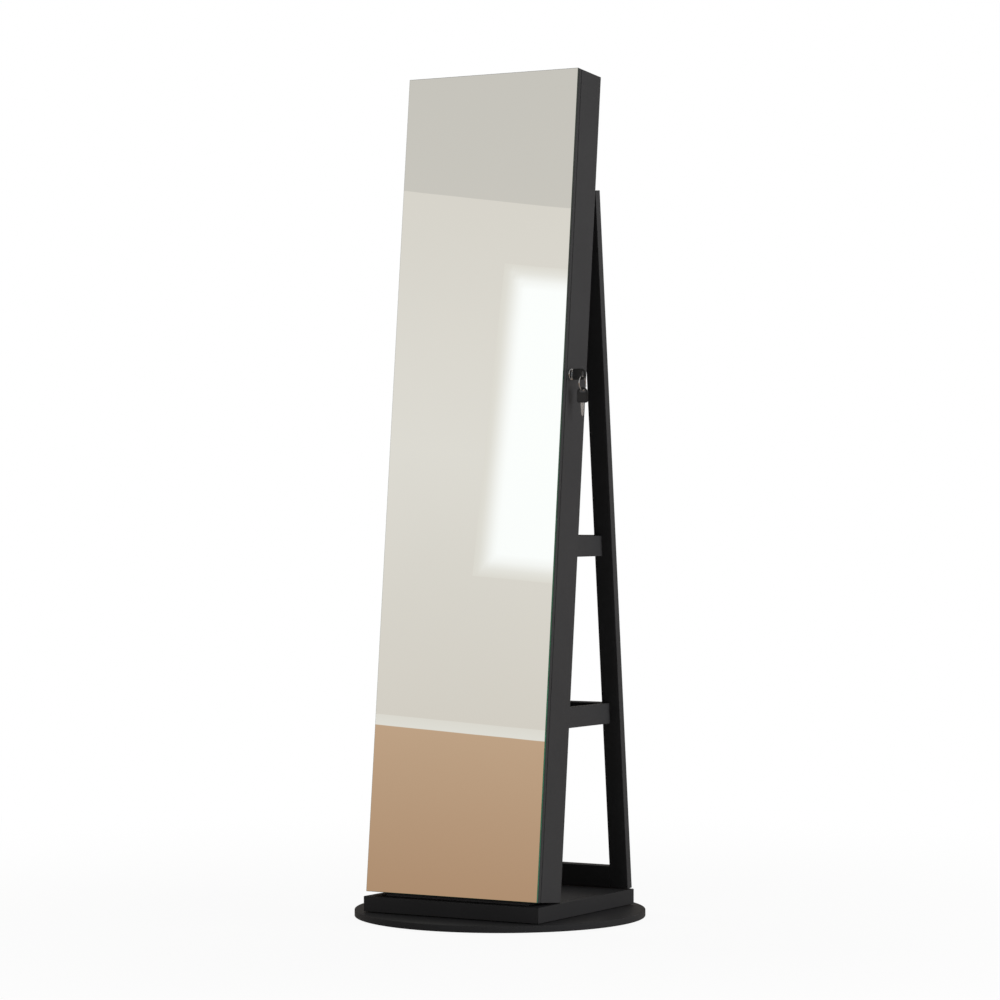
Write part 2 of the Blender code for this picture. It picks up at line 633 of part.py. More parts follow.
def make_lock(right_side):
    """Cam lock through the right side: housing, nut, turning plug and cam, and the door's strike."""
    barrel_end = -SIDE_THICKNESS - LOCK_BARREL_INSIDE
    bore = LOCK_PLUG_RADIUS + SEAT_GAP
    soft = LOCK_FLANGE_ROUND
    rim = LOCK_FLANGE_RADIUS
    face = LOCK_FLANGE_HEIGHT
    housing = [(bore, barrel_end), (LOCK_BARREL_RADIUS, barrel_end), (LOCK_BARREL_RADIUS, SEAT_GAP),
               (rim, SEAT_GAP), (rim, face - soft)]
    housing += arc((rim - soft, face - soft), soft, 15, 90, 4)
    housing += [(bore, face)]
    lock_seat = add_axis("lock_seat", cabinet, lock_axis.location)
    add_piece("lock_housing", turned_mesh("lock_housing", housing, LOCK_SIDES), "chrome", lock_seat,
              rotation=TURNED_ALONG_X, smooth=True)
    hole = drum_mesh("lock_hole", LOCK_BARREL_RADIUS + SEAT_GAP, 3 * SIDE_THICKNESS, LOCK_SIDES)
    cut(right_side, add_cutter("lock_hole", hole, lock_seat, rotation=TURNED_ALONG_X))
    nut = [circle((0, 0), LOCK_NUT_RADIUS, NUT_SIDES),
           circle((0, 0), LOCK_BARREL_RADIUS + SEAT_GAP, LOCK_SIDES)]
    nut = outline_mesh("lock_nut", nut, LOCK_NUT_THICKNESS)
    nut_x = -SIDE_THICKNESS - SEAT_GAP - LOCK_NUT_THICKNESS / 2
    add_piece("lock_nut", nut, "steel", lock_seat, (nut_x, 0, 0), OUTLINE_ON_SIDE)

    plug_face = face - LOCK_PLUG_RECESS
    plug_end = barrel_end - SEAT_GAP
    plug = drum_mesh("lock_plug", LOCK_PLUG_RADIUS, plug_face - plug_end, PLUG_SIDES)
    plug = add_piece("lock_plug", plug, "chrome", lock_axis, ((plug_face + plug_end) / 2, 0, 0),
                     TURNED_ALONG_X, smooth=True)
    key_shoulder = face + KEY_STAND_OFF
    blade_end = key_shoulder - KEY_BLADE_LENGTH
    keyway_end = blade_end - SEAT_GAP
    keyway_length = 2 * (plug_face - keyway_end)
    keyway = box_mesh("keyway", (keyway_length, KEY_BLADE_THICKNESS + 2 * SEAT_GAP,
                                 KEY_BLADE_WIDTH + 2 * SEAT_GAP))
    cut(plug, add_cutter("keyway", keyway, lock_axis, (plug_face, 0, 0)))
    cam_x = plug_end - SEAT_GAP - CAM_THICKNESS / 2
    half = CAM_WIDTH / 2
    bar = rounded_outline(-CAM_REACH, LOCK_PLUG_RADIUS, -half, half, half, half)
    add_piece("lock_cam", outline_mesh("lock_cam", [bar], CAM_THICKNESS), "steel", lock_axis,
              (cam_x, 0, 0), OUTLINE_ON_SIDE)

    door_back = door_thickness + SEAT_GAP - LOCK_DEPTH
    plate_back = door_back + STRIKE_THICKNESS
    arm_low = CAM_REACH + STRIKE_SLACK
    arm_high = arm_low + STRIKE_THICKNESS
    lip_front = half + STRIKE_SLACK
    lip_back = lip_front + STRIKE_THICKNESS
    lip_low = LOCK_PLUG_RADIUS + 2 * STRIKE_SLACK
    hook = [(door_back, arm_low), (lip_front, arm_low), (lip_front, lip_low), (lip_back, lip_low),
            (lip_back, arm_high), (plate_back, arm_high), (plate_back, arm_low + STRIKE_FOOT),
            (door_back, arm_low + STRIKE_FOOT)]
    strike_x = CABINET_WIDTH / 2 + plug_end - STRIKE_DRIFT - STRIKE_WIDTH / 2
    add_piece("lock_strike", outline_mesh("lock_strike", [hook], STRIKE_WIDTH), "steel", door_axis,
              (strike_x - hinge_x, LOCK_DEPTH - hinge_depth, LOCK_HEIGHT), OUTLINE_ON_SIDE)
    return key_shoulder


def key_meshes(prefix):
    """Head and blade of a key that stands along Z, with the head up and its base at zero."""
    half = KEY_WIDTH / 2
    outline = rounded_outline(-half, half, 0, KEY_HEAD_LENGTH, KEY_HEAD_CORNER, half)
    slot_z = KEY_HEAD_LENGTH - KEY_SLOT_CENTRE
    slot_round = KEY_SLOT_LENGTH / 2
    slot = rounded_outline(-KEY_SLOT_WIDTH / 2, KEY_SLOT_WIDTH / 2, slot_z - slot_round,
                           slot_z + slot_round, slot_round, slot_round)
    head = outline_mesh(prefix + "_head", [outline, slot], KEY_HEAD_THICKNESS)
    edge = KEY_BLADE_WIDTH / 2
    bits = [(edge, KEY_TANG), (-edge, KEY_TANG), (-edge, edge - KEY_BLADE_LENGTH),
            (-KEY_TIP_WIDTH / 2, -KEY_BLADE_LENGTH), (KEY_TIP_WIDTH / 2, -KEY_BLADE_LENGTH)]
    pitch = (KEY_BLADE_LENGTH - 2 * edge) / (len(KEY_CUTS) + 1)
    flank = (pitch - KEY_CUT_LAND) / 2
    for i, depth in enumerate(KEY_CUTS):
        middle = edge - KEY_BLADE_LENGTH + (i + 0.5) * pitch
        bits += [(edge, middle - flank), (edge - depth, middle), (edge, middle + flank)]
    blade = outline_mesh(prefix + "_blade", [bits], KEY_BLADE_THICKNESS)
    return head, blade


def add_key(prefix, parent, location, rotation):
    frame = add_axis(prefix + "_frame", parent, location, rotation)
    head_mesh, blade_mesh = key_meshes(prefix)
    head = add_piece(prefix + "_head", head_mesh, "key_plastic", frame, rotation=OUTLINE_ON_FRONT)
    add_piece(prefix + "_blade", blade_mesh, "steel", frame, rotation=OUTLINE_ON_FRONT)
    pocket_size = (KEY_BLADE_WIDTH + 2 * SEAT_GAP, KEY_BLADE_THICKNESS + 2 * SEAT_GAP,
                   2 * (KEY_TANG + SEAT_GAP))
    cut(head, add_cutter(prefix + "_pocket", box_mesh("pocket", pocket_size), frame))


def make_keys(key_shoulder):
    """A key in the lock, a ring through its slot and a spare key hanging on the ring."""
    add_key("key", lock_axis, (key_shoulder, 0, 0), TURNED_ALONG_X)
    slot_x = key_shoulder + KEY_HEAD_LENGTH - KEY_SLOT_CENTRE
    slot_edge = KEY_SLOT_WIDTH / 2
    bridge = (slot_edge + KEY_WIDTH / 2) / 2
    ring_axis = add_axis("ring_axis", lock_axis, (slot_x, 0, -bridge), (lean, 0, 0))
    wire_above = bridge - slot_edge + RING_SLACK + RING_WIRE
    ring_drop = RING_RADIUS - wire_above
    ring = turned_mesh("key_ring", circle((RING_RADIUS, 0), RING_WIRE, RING_WIRE_SIDES), RING_SIDES)
    add_piece("key_ring", ring, "chrome", ring_axis, (0, 0, -ring_drop), TURNED_ALONG_X, smooth=True)
    spare_axis = add_axis("spare_axis", ring_axis, (0, 0, -ring_drop - RING_RADIUS))
    hole_end = KEY_HEAD_LENGTH - KEY_SLOT_CENTRE + KEY_SLOT_LENGTH / 2
    spare_drop = hole_end - RING_WIRE - SEAT_GAP
    add_key("spare_key", spare_axis, (0, 0, -spare_drop), (0, 0, math.radians(SPARE_KEY_TURN)))
    return ring_axis, spare_axis


def make_catch():
    """Magnet under the cabinet's top and its plate on the door."""
    plate_depth = door_thickness + SEAT_GAP + MAGNET_PLATE_SIZE[1] / 2
    magnet_front = door_thickness + 2 * SEAT_GAP + MAGNET_PLATE_SIZE[1]
    height = CABINET_LENGTH - END_THICKNESS - SEAT_GAP - MAGNET_SIZE[2] / 2
    add_board("magnet_catch", MAGNET_SIZE, (MAGNET_PLACE, magnet_front + MAGNET_SIZE[1] / 2, height), cabinet,
              "key_plastic", BOARD_EASE / 2)
    add_board("magnet_plate", MAGNET_PLATE_SIZE, (MAGNET_PLACE - hinge_x, plate_depth - hinge_depth, height),
              door_axis, "steel", 0)


def make_fittings():
    """Lipped shelves, a channelled ring pad, a bracelet rod and a rail of necklace hooks."""
    rear = lining_front - SEAT_GAP
    lip = SHELF_FRONT + SHELF_LIP_THICKNESS
    low, high = -SHELF_THICKNESS / 2, SHELF_THICKNESS / 2
    shelf = [(SHELF_FRONT, low), (rear, low), (rear, high), (lip, high), (lip, high + SHELF_LIP_HEIGHT),
             (SHELF_FRONT, high + SHELF_LIP_HEIGHT)]
    shelf = outline_mesh("shelf", [shelf], fitted_width)
    for place, height in shelf_heights.items():
        board = add_piece(place + "_shelf", shelf, "black_board", cabinet, (0, 0, height), OUTLINE_ON_SIDE)
        ease(board, BOARD_EASE, 1)

    pad_face = rear - PAD_BASE
    outline = [(rear, pad_top), (rear, pad_foot)]
    for i in range(PAD_ROLLS):
        for share in [j / PAD_ROLL_POINTS for j in range(PAD_ROLL_POINTS)]:
            crown = PAD_CROWN * math.sin(math.pi * share) ** PAD_ROLL_FULLNESS
            outline.append((pad_face - crown, pad_foot + (i + share) * PAD_ROLL_PITCH))
    outline.append((pad_face, pad_top))
    pad = outline_mesh("ring_pad", [outline], fitted_width - 2 * PAD_INSET)
    add_piece("ring_pad", pad, "velvet", cabinet, rotation=OUTLINE_ON_SIDE)
    rod = drum_mesh("bracelet_rod", ROD_RADIUS, fitted_width, ROD_SIDES)
    add_piece("bracelet_rod", rod, "velvet", cabinet, (0, lining_front - ROD_STAND_OFF, pad_top + ROD_RISE),
              TURNED_ALONG_X, smooth=True)

    rail_height = CABINET_LENGTH - HOOK_RAIL_DROP
    rail_width = fitted_width - 2 * HOOK_RAIL_INSET
    rail = add_board("necklace_hook_rail", (rail_width, HOOK_RAIL_THICKNESS, HOOK_RAIL_HEIGHT),
                     (0, rear - HOOK_RAIL_THICKNESS / 2, rail_height), cabinet)
    start = rear - HOOK_RAIL_THICKNESS + HOOK_ROOT
    tip = start - HOOK_ROOT - HOOK_REACH + HOOK_RISE
    route = [(start, 0)] + arc((tip, HOOK_RISE), HOOK_RISE, 270, 180, HOOK_BEND_POINTS)
    pitch = (rail_width - 2 * HOOK_END) / (HOOK_COUNT - 1)
    wire = bpy.data.curves.new("hooks", "CURVE")
    wire.dimensions = "3D"
    wire.bevel_depth = HOOK_WIRE
    wire.bevel_resolution = 1
    wire.use_fill_caps = True
    for i in range(HOOK_COUNT):
        spline = wire.splines.new("POLY")
        spline.points.add(len(route) - 1)
        for point, (y, z) in zip(spline.points, route):
            point.co = (HOOK_END - rail_width / 2 + i * pitch, y, z, 1)
    bent = bpy.data.objects.new("hooks", wire)
    cutters.objects.link(bent)
    hooks = add_cutter("hook_wires", evaluated_mesh(bent), cabinet, (0, 0, rail_height))
    joint = rail.modifiers.new("join_hooks", "BOOLEAN")
    joint.operation = "UNION"
    joint.solver = "EXACT"
    joint.object = hooks


make_base()
make_bearing()
make_plinth()
left_side, right_side = make_cabinet()
make_rear_frame()
make_trays()
make_hinges(left_side, make_door())
ring_axis, spare_axis = make_keys(make_lock(right_side))
make_catch()
make_fittings()

bpy.context.view_layer.update()
for axis in (swivel_axis, door_axis, lock_axis, ring_axis, spare_axis):
    place = axis.matrix_world @ Vector((0, 0, 0))
    print(axis.name, [round(v, 6) for v in place])
print("cabinet lean", round(CABINET_LEAN, 3), "frame lean", round(math.degrees(frame_lean), 3))
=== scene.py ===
# Swivel mirrored jewelry cabinet: finishes, smooth round pieces, soft fittings and a plain studio
import json
import math

import bmesh
import bpy
import numpy as np
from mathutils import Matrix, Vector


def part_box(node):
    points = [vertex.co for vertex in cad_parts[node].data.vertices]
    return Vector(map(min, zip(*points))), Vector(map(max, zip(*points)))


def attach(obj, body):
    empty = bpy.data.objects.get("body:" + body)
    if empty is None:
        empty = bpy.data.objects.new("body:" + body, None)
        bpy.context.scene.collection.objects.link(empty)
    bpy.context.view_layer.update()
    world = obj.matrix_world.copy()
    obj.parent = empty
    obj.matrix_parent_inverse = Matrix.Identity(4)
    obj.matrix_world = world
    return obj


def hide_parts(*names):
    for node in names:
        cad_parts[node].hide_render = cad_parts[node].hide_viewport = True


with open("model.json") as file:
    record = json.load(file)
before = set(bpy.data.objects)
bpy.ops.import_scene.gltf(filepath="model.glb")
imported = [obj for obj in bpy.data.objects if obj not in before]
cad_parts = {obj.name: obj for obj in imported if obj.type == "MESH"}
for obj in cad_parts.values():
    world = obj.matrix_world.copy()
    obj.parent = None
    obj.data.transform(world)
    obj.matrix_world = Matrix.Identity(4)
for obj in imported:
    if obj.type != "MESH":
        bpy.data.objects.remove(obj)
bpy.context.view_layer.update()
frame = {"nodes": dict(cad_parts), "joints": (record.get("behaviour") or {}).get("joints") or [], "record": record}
nodes = frame["nodes"]
joints = {joint["name"]: joint for joint in frame["joints"]}
slots = {part["node"]: part["material_slot"] for part in frame["record"]["subparts"]}

# directions of the object: the cabinet leans, so its pieces are measured along these
right = np.array((1.0, 0.0, 0.0))
back = np.array((0.0, 1.0, 0.0))
up = np.array((0.0, 0.0, 1.0))
worldAxes = (right, back, up)
leanUp = -np.array(joints["door_hinge"]["axis"], float)      # along the leaning mirror
leanIn = np.array((0.0, leanUp[2], -leanUp[1]))              # from the mirror into the cabinet
leanAxes = (right, leanIn, leanUp)


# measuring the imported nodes

def points(name):  # a node's mesh points as one array
    mesh = nodes[name].data
    flat = np.empty(len(mesh.vertices) * 3, np.float32)
    mesh.vertices.foreach_get("co", flat)
    return flat.reshape(-1, 3).astype(float)


def reach(name, axis):  # least and greatest measure of a node along an axis
    along = points(name) @ axis
    return along.min(), along.max()


def reachBox(name, axes):  # the same along three axes, as lowest and highest corner
    low, high = np.array([reach(name, axis) for axis in axes]).T
    return low, high


def spread(axes, *measures):  # points from their measures along three axes
    parts = np.broadcast_arrays(*measures)
    return sum(np.asarray(part, float)[..., None] * axis for part, axis in zip(parts, axes))


# surfaces: every shape is a grid of points, whole arrays at a time

weldDistance = 2e-6   # closes seams and poles, far below any detail


def gridQuads(rows, cols, wrapRows, wrapCols):  # the four corners of each cell, joined round where it wraps
    firstRows, firstCols = np.arange(rows - (not wrapRows)), np.arange(cols - (not wrapCols))
    row, col = np.meshgrid(firstRows, firstCols, indexing="ij")
    nextRow, nextCol = (row + 1) % rows, (col + 1) % cols
    corners = (row * cols + col, row * cols + nextCol, nextRow * cols + nextCol, nextRow * cols + col)
    return np.stack(corners, -1).reshape(-1, 4)


# grids of points as one mesh: quads between neighbours, doubles merged, faces turned outwards
def gridMesh(name, grids, wrapRows=False, wrapCols=True, sharp=35, closed=True):
    verts, faces, start = [], [], 0
    for grid in grids:
        rows, cols = grid.shape[:2]
        verts.append(grid.reshape(-1, 3))
        faces.append(gridQuads(rows, cols, wrapRows, wrapCols) + start)
        start += rows * cols
    mesh = bpy.data.meshes.new(name)
    mesh.from_pydata(np.concatenate(verts), [], np.concatenate(faces))
    shell = bmesh.new()
    shell.from_mesh(mesh)
    bmesh.ops.remove_doubles(shell, verts=shell.verts, dist=weldDistance)
    if closed:
        bmesh.ops.recalc_face_normals(shell, faces=shell.faces)
    shell.to_mesh(mesh)
    shell.free()
    mesh.shade_smooth()
    mesh.set_sharp_from_angle(angle=math.radians(sharp))
    return mesh


# an object at the origin that rides on a body, with its finish, and the nodes that it stands for hidden
def addPiece(name, mesh, finish, body, slot, *stoodFor):
    mesh.materials.append(finish)
    piece = bpy.data.objects.new(name, mesh)
    bpy.context.scene.collection.objects.link(piece)
    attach(piece, body)
    if stoodFor:
        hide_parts(*stoodFor)
    return piece


def arc(centreA, centreB, radius, start, end, count):  # points at a radius from a centre, angles in degrees
    t = np.radians(np.linspace(start, end, count))
    return np.stack((centreA + radius * np.cos(t), centreB + radius * np.sin(t)), -1)


def capped(rows, first, last):  # a row of one value before and after, which draws a tube's ends to a point
    width = rows.shape[1]
    return np.vstack((np.full(width, first), rows, np.full(width, last)))


# a turned shape: a profile of radius and height carried round an axis
def turned(profile, centre, axis, sideA, sideB, steps):
    t = np.linspace(0, 2 * math.pi, steps, endpoint=False)
    outward = np.cos(t)[:, None] * sideA + np.sin(t)[:, None] * sideB
    profile = np.asarray(profile, float)
    return centre + profile[:, 0, None, None] * outward + (profile[:, 1, None] * axis)[:, None, :]


# a section carried along a path: each path point has two side directions and a size,
# and the ends shrink to a point
def carried(path, sideA, sideB, section, size):
    a, b = section[:, 0], section[:, 1]
    offset = a[None, :, None] * sideA[:, None, :] + b[None, :, None] * sideB[:, None, :]
    body = path[:, None, :] + size[:, None, None] * offset
    ends = [np.repeat(path[i][None, None, :], len(section), 1) for i in (0, -1)]
    return np.concatenate((ends[0], body, ends[1]))


# a block with every edge rounded: a ball cut in eight and moved out to the corners
def roundedBlock(axes, low, high, radius, count):
    quarter = np.linspace(0, math.pi / 2, count)
    turn = np.concatenate([quarter + i * math.pi / 2 for i in range(4)])
    signA = np.repeat((1, -1, -1, 1), count)
    signB = np.repeat((1, 1, -1, -1), count)
    lift = np.concatenate((quarter - math.pi / 2, quarter))
    signC = np.repeat((-1, 1), count)
    middle, half = (low + high) / 2, (high - low) / 2 - radius
    ring = radius * np.cos(lift)[:, None]
    a = middle[0] + signA * half[0] + ring * np.cos(turn)
    b = middle[1] + signB * half[1] + ring * np.sin(turn)
    c = np.repeat((middle[2] + signC * half[2] + radius * np.sin(lift))[:, None], len(turn), 1)
    a, b = capped(a, middle[0], middle[0]), capped(b, middle[1], middle[1])
    return spread(axes, a, b, capped(c, c[0, 0], c[-1, 0]))


# finishes

def linear(hexColour):  # sRGB hex to linear light, by the curve of that standard
    srgb = np.array([int(hexColour[i:i + 2], 16) for i in (1, 3, 5)]) / 255
    flat = np.where(srgb <= 0.04045, srgb / 12.92, ((srgb + 0.055) / 1.055) ** 2.4)
    return (*flat, 1.0)


def addNode(tree, kind, settings, inputs):  # a value is set, a socket is linked
    made = tree.nodes.new(kind)
    for key, value in settings.items():
        setattr(made, key, value)
    for key, value in inputs.items():
        if isinstance(value, bpy.types.NodeSocket):
            tree.links.new(value, made.inputs[key])
        else:
            made.inputs[key].default_value = value
    return made


def newMaterial(name):  # a material with its node tree and shader
    material = bpy.data.materials.new(name)
    material.use_nodes = True
    tree = material.node_tree
    return material, tree, tree.nodes["Principled BSDF"]


noise = {"cloudDetail": 3.0, "grainDetail": 2.0, "grainSpan": (0.3, 0.7), "reliefShare": 0.25}


# two tones mottled together, with roughness and relief from a finer grain; sizes in metres
def grainedFinish(name, look):
    material, tree, shader = newMaterial(name)
    place = addNode(tree, "ShaderNodeTexCoord", {}, {}).outputs["Object"]
    stretched = addNode(tree, "ShaderNodeMapping", {},
                        {"Vector": place, "Scale": look.get("stretch", (1, 1, 1))}).outputs["Vector"]
    cloud = addNode(tree, "ShaderNodeTexNoise", {}, {
        "Vector": stretched, "Scale": 1 / look["mottle"], "Detail": noise["cloudDetail"]}).outputs["Fac"]
    grain = addNode(tree, "ShaderNodeTexNoise", {}, {
        "Vector": stretched, "Scale": 1 / look["grain"], "Detail": noise["grainDetail"]}).outputs["Fac"]
    tone = addNode(tree, "ShaderNodeMix", {"data_type": "RGBA"}, {0: cloud})
    tone.inputs[6].default_value = linear(look["dark"])
    tone.inputs[7].default_value = linear(look["light"])
    if "fade" in look:   # towards another tone with height; on the glass edge this is painted shade, darker higher up
        start, end, other = look["fade"]
        height = addNode(tree, "ShaderNodeSeparateXYZ", {}, {0: place}).outputs["Z"]
        share = addNode(tree, "ShaderNodeMapRange", {},
                        {"Value": height, "From Min": start, "From Max": end}).outputs["Result"]
        tone = addNode(tree, "ShaderNodeMix", {"data_type": "RGBA"}, {0: share, 6: tone.outputs[2]})
        tone.inputs[7].default_value = linear(other)
    least, most = noise["grainSpan"]
    low, high = look["roughness"]
    rough = addNode(tree, "ShaderNodeMapRange", {},
                    {"Value": grain, "From Min": least, "From Max": most, "To Min": low, "To Max": high})
    depth = look["grain"] * noise["reliefShare"]
    relief = addNode(tree, "ShaderNodeBump", {},
                     {"Height": grain, "Strength": look["relief"], "Distance": depth})
    tree.links.new(tone.outputs[2], shader.inputs["Base Color"])
    tree.links.new(rough.outputs["Result"], shader.inputs["Roughness"])
    tree.links.new(relief.outputs["Normal"], shader.inputs["Normal"])
    for key, value in look.get("sockets", {}).items():
        shader.inputs[key].default_value = value
    return material


# melamine-faced fibreboard, pressed satin: near black, a faint even pebble, broad soft gloss
# (the real pebble is under 0.5 mm and is drawn at 2.5 mm so that it shows)
satin = {"mottle": 0.11, "grain": 0.0025, "roughness": (0.46, 0.56), "relief": 0.12}
blackBoard = grainedFinish("blackMelamineBoard", {
    "dark": "#2C2C2D", "light": "#313132", **satin, "sockets": {"Specular IOR Level": 0.08}})
baseBoard = grainedFinish("blackMelamineBase", {   # darker and duller than the other boards
    "dark": "#232324", "light": "#282829", **satin, "sockets": {"Specular IOR Level": 0.045}})

# silvered float glass: neutral and bright, with the slight unevenness of the float line
mirrorSilver = grainedFinish("silveredFloatGlass", {
    "dark": "#E4E7E5", "light": "#E9EBE9", "mottle": 0.45, "grain": 0.18,
    "roughness": (0.001, 0.004), "relief": 0.0003, "sockets": {"Metallic": 1.0}})

# ground edge of float glass: the iron in it shows as green, the grinding makes it silky
glassEdge = grainedFinish("groundGlassEdge", {
    # painted shade: above 0.35 m the edge turns towards near black, so its green shows brightest low down
    "dark": "#123A2A", "light": "#2B6B52", "mottle": 0.03, "grain": 0.0012, "fade": (0.35, 1.15, "#14201B"),
    "roughness": (0.16, 0.30), "relief": 0.04, "sockets": {"IOR": 1.52}})

# chrome plate on zinc: mirror bright with faint polishing haze
chrome = grainedFinish("polishedChromePlate", {
    "dark": "#C9CCD0", "light": "#DCDEE1", "mottle": 0.012, "grain": 0.0009,
    "roughness": (0.07, 0.14), "relief": 0.01, "sockets": {"Metallic": 1.0}})

# zinc-plated stamped steel: grey, rolled grain along its length
steel = grainedFinish("zincPlatedSteel", {
    "dark": "#7C8186", "light": "#A3A8AC", "mottle": 0.02, "grain": 0.0011, "stretch": (1, 1, 0.12),
    "roughness": (0.26, 0.42), "relief": 0.05, "sockets": {"Metallic": 1.0}})

# nickel-plated brass, polished after milling: clean silver, finer grained than the steel
nickel = grainedFinish("polishedNickelPlate", {
    "dark": "#A0A7AF", "light": "#B0B7BF", "mottle": 0.012, "grain": 0.0008, "stretch": (1, 1, 0.2),
    "roughness": (0.22, 0.34), "relief": 0.03, "sockets": {"Metallic": 1.0}})

# moulded ABS with a fine spark-eroded skin
keyPlastic = grainedFinish("mouldedBlackPlastic", {
    "dark": "#1A1B1C", "light": "#212223", "mottle": 0.008, "grain": 0.0006,
    "roughness": (0.36, 0.48), "relief": 0.06, "sockets": {"Specular IOR Level": 0.22}})

# cast rubber, dull
rubber = grainedFinish("castRubber", {
    "dark": "#161616", "light": "#212121", "mottle": 0.03, "grain": 0.0016,
    "roughness": (0.72, 0.88), "relief": 0.12, "sockets": {"Specular IOR Level": 0.3}})

# natural nylon, slightly waxy
nylon = grainedFinish("naturalNylon", {
    "dark": "#CFCCC2", "light": "#DDDBD2", "mottle": 0.02, "grain": 0.0012,
    "roughness": (0.40, 0.52), "relief": 0.03, "sockets": {"Subsurface Weight": 0.1}})

# cut-pile velvet brushed downwards: dark face, light catching the pile at its edges
# (pile tufts of 0.4 mm, drawn at 1.6 mm so that they show)
pile = {"mottle": 0.016, "grain": 0.0016, "stretch": (1, 1, 0.3), "roughness": (0.86, 0.98), "relief": 0.45,
        "sockets": {"Sheen Weight": 0.6, "Sheen Roughness": 0.45, "Specular IOR Level": 0.15}}
velvet = grainedFinish("cutPileVelvet", {"dark": "#817870", "light": "#999086", **pile})
paleVelvet = grainedFinish("paleCutPileVelvet", {"dark": "#B1A698", "light": "#C7BDAE", **pile})

finishes = {"black_board": blackBoard, "mirror": mirrorSilver, "chrome": chrome, "steel": steel,
            "key_plastic": keyPlastic, "rubber": rubber, "nylon": nylon, "velvet": velvet}
for name, cadNode in nodes.items():
    cadNode.data.materials.clear()
    cadNode.data.materials.append(baseBoard if name.startswith("plinth") else finishes[slots[name]])
print("finishes:", len(bpy.data.materials), "materials on", len(nodes), "nodes")


# round base board, turned smooth with eased edges
roundBase = {"ease": 0.0011, "easePoints": 6, "steps": 288}


def makeRoundBase(size):  # profile: top, a quarter round at each edge, underside; turned about the vertical
    low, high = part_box("base_disc")
    radius, ease = high.x, size["ease"]
    top = arc(radius - ease, high.z - ease, ease, 90, 0, size["easePoints"])
    foot = arc(radius - ease, low.z + ease, ease, 0, -90, size["easePoints"])
    profile = np.vstack(([(0, high.z)], top, foot, [(0, low.z)]))
    grid = turned(profile, np.zeros(3), up, right, back, size["steps"])
    addPiece("roundBase", gridMesh("roundBase", [grid]), baseBoard, "base", "black_board", "base_disc")


makeRoundBase(roundBase)


# mirror pane with ground, eased edges; only its front face is silvered to the eye
mirrorPane = {"ease": 0.0007, "easePoints": 4, "frontLimit": 0.999}


def makeMirrorPane(size):  # a block with rounded edges, silvered where it faces straight to the front
    low, high = reachBox("mirror_glass", leanAxes)
    block = roundedBlock(leanAxes, low, high, size["ease"], size["easePoints"])
    mesh = gridMesh("mirrorPane", [block], sharp=8)   # keeps the faces truly flat
    addPiece("mirrorPane", mesh, glassEdge, "mirror_door", "mirror", "mirror_glass")
    mesh.materials.append(mirrorSilver)
    normals = np.empty(len(mesh.polygons) * 3, np.float32)
    mesh.polygons.foreach_get("normal", normals)
    facing = normals.reshape(-1, 3) @ -leanIn > size["frontLimit"]
    mesh.polygons.foreach_set("material_index", facing.astype(np.int32))


makeMirrorPane(mirrorPane)
print("base and mirror made")


# lock: turned housing with a rolled rim and a chamfered mouth round the plug
lockRim = {"bore": 0.0063, "barrel": 0.008, "lip": 0.0012, "lipPoints": 7, "groove": 0.00045,
           "mouth": 0.0006, "steps": 72}


def makeLockRim(size):  # profile of radius and reach: barrel, flange, rolled lip, step, mouth; turned
    centre = np.array(joints["lock_turn"]["pos_m"], float)
    low, high = reach("lock_housing", right)
    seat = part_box("cabinet_right_side")[1].x
    radius = np.ptp(reach("lock_housing", leanUp)) / 2
    bore, lip, groove, mouth = size["bore"], size["lip"], size["groove"], size["mouth"]
    inner, foot, field = radius - 2 * lip, seat + groove / 2, high - groove
    barrel = [(bore, low), (size["barrel"], low), (size["barrel"], foot), (radius, foot)]
    rim = arc(radius - lip, high - lip, lip, 0, 90, size["lipPoints"])
    front = [(inner, high), (inner - groove, field), (bore + mouth + groove, field), (bore + mouth, field),
             (bore, field - mouth)]
    profile = np.vstack((barrel, rim, front))
    profile[:, 1] -= centre[0]
    grid = turned(profile, centre, right, leanIn, leanUp, size["steps"])
    mesh = gridMesh("lockRim", [grid], wrapRows=True)
    addPiece("lockRim", mesh, chrome, "turning_cabinet", "chrome", "lock_housing")


makeLockRim(lockRim)

# key heads: rays from the string hole to the outline, swept through a rounded section with a raised border
keyHead = {"corner": 0.004, "holeCentre": 0.007, "holeWidth": 0.011, "holeHeight": 0.0052,
           "outerEase": 0.0009, "holeEase": 0.0007, "border": 0.0021, "holeBorder": 0.00126, "step": 0.0004,
           "recess": 0.00045, "rays": 144, "topPoints": 25, "cornerPoints": 9, "holePoints": 17,
           "easePoints": 5, "between": 12}


def rayLengths(outline, angles):  # distance from the origin to a closed outline along each angle
    turn = np.arctan2(outline[:, 1], outline[:, 0])
    order = np.argsort(turn)
    turn, length = turn[order], np.hypot(*outline[order].T)
    return np.interp(angles, turn, length, period=2 * math.pi)


def densely(outline, count):  # points spaced along each straight stretch of an outline
    after = np.roll(outline, -1, axis=0)
    share = np.linspace(0, 1, count, endpoint=False)[None, :, None]
    return (outline[:, None] * (1 - share) + after[:, None] * share).reshape(-1, 2)


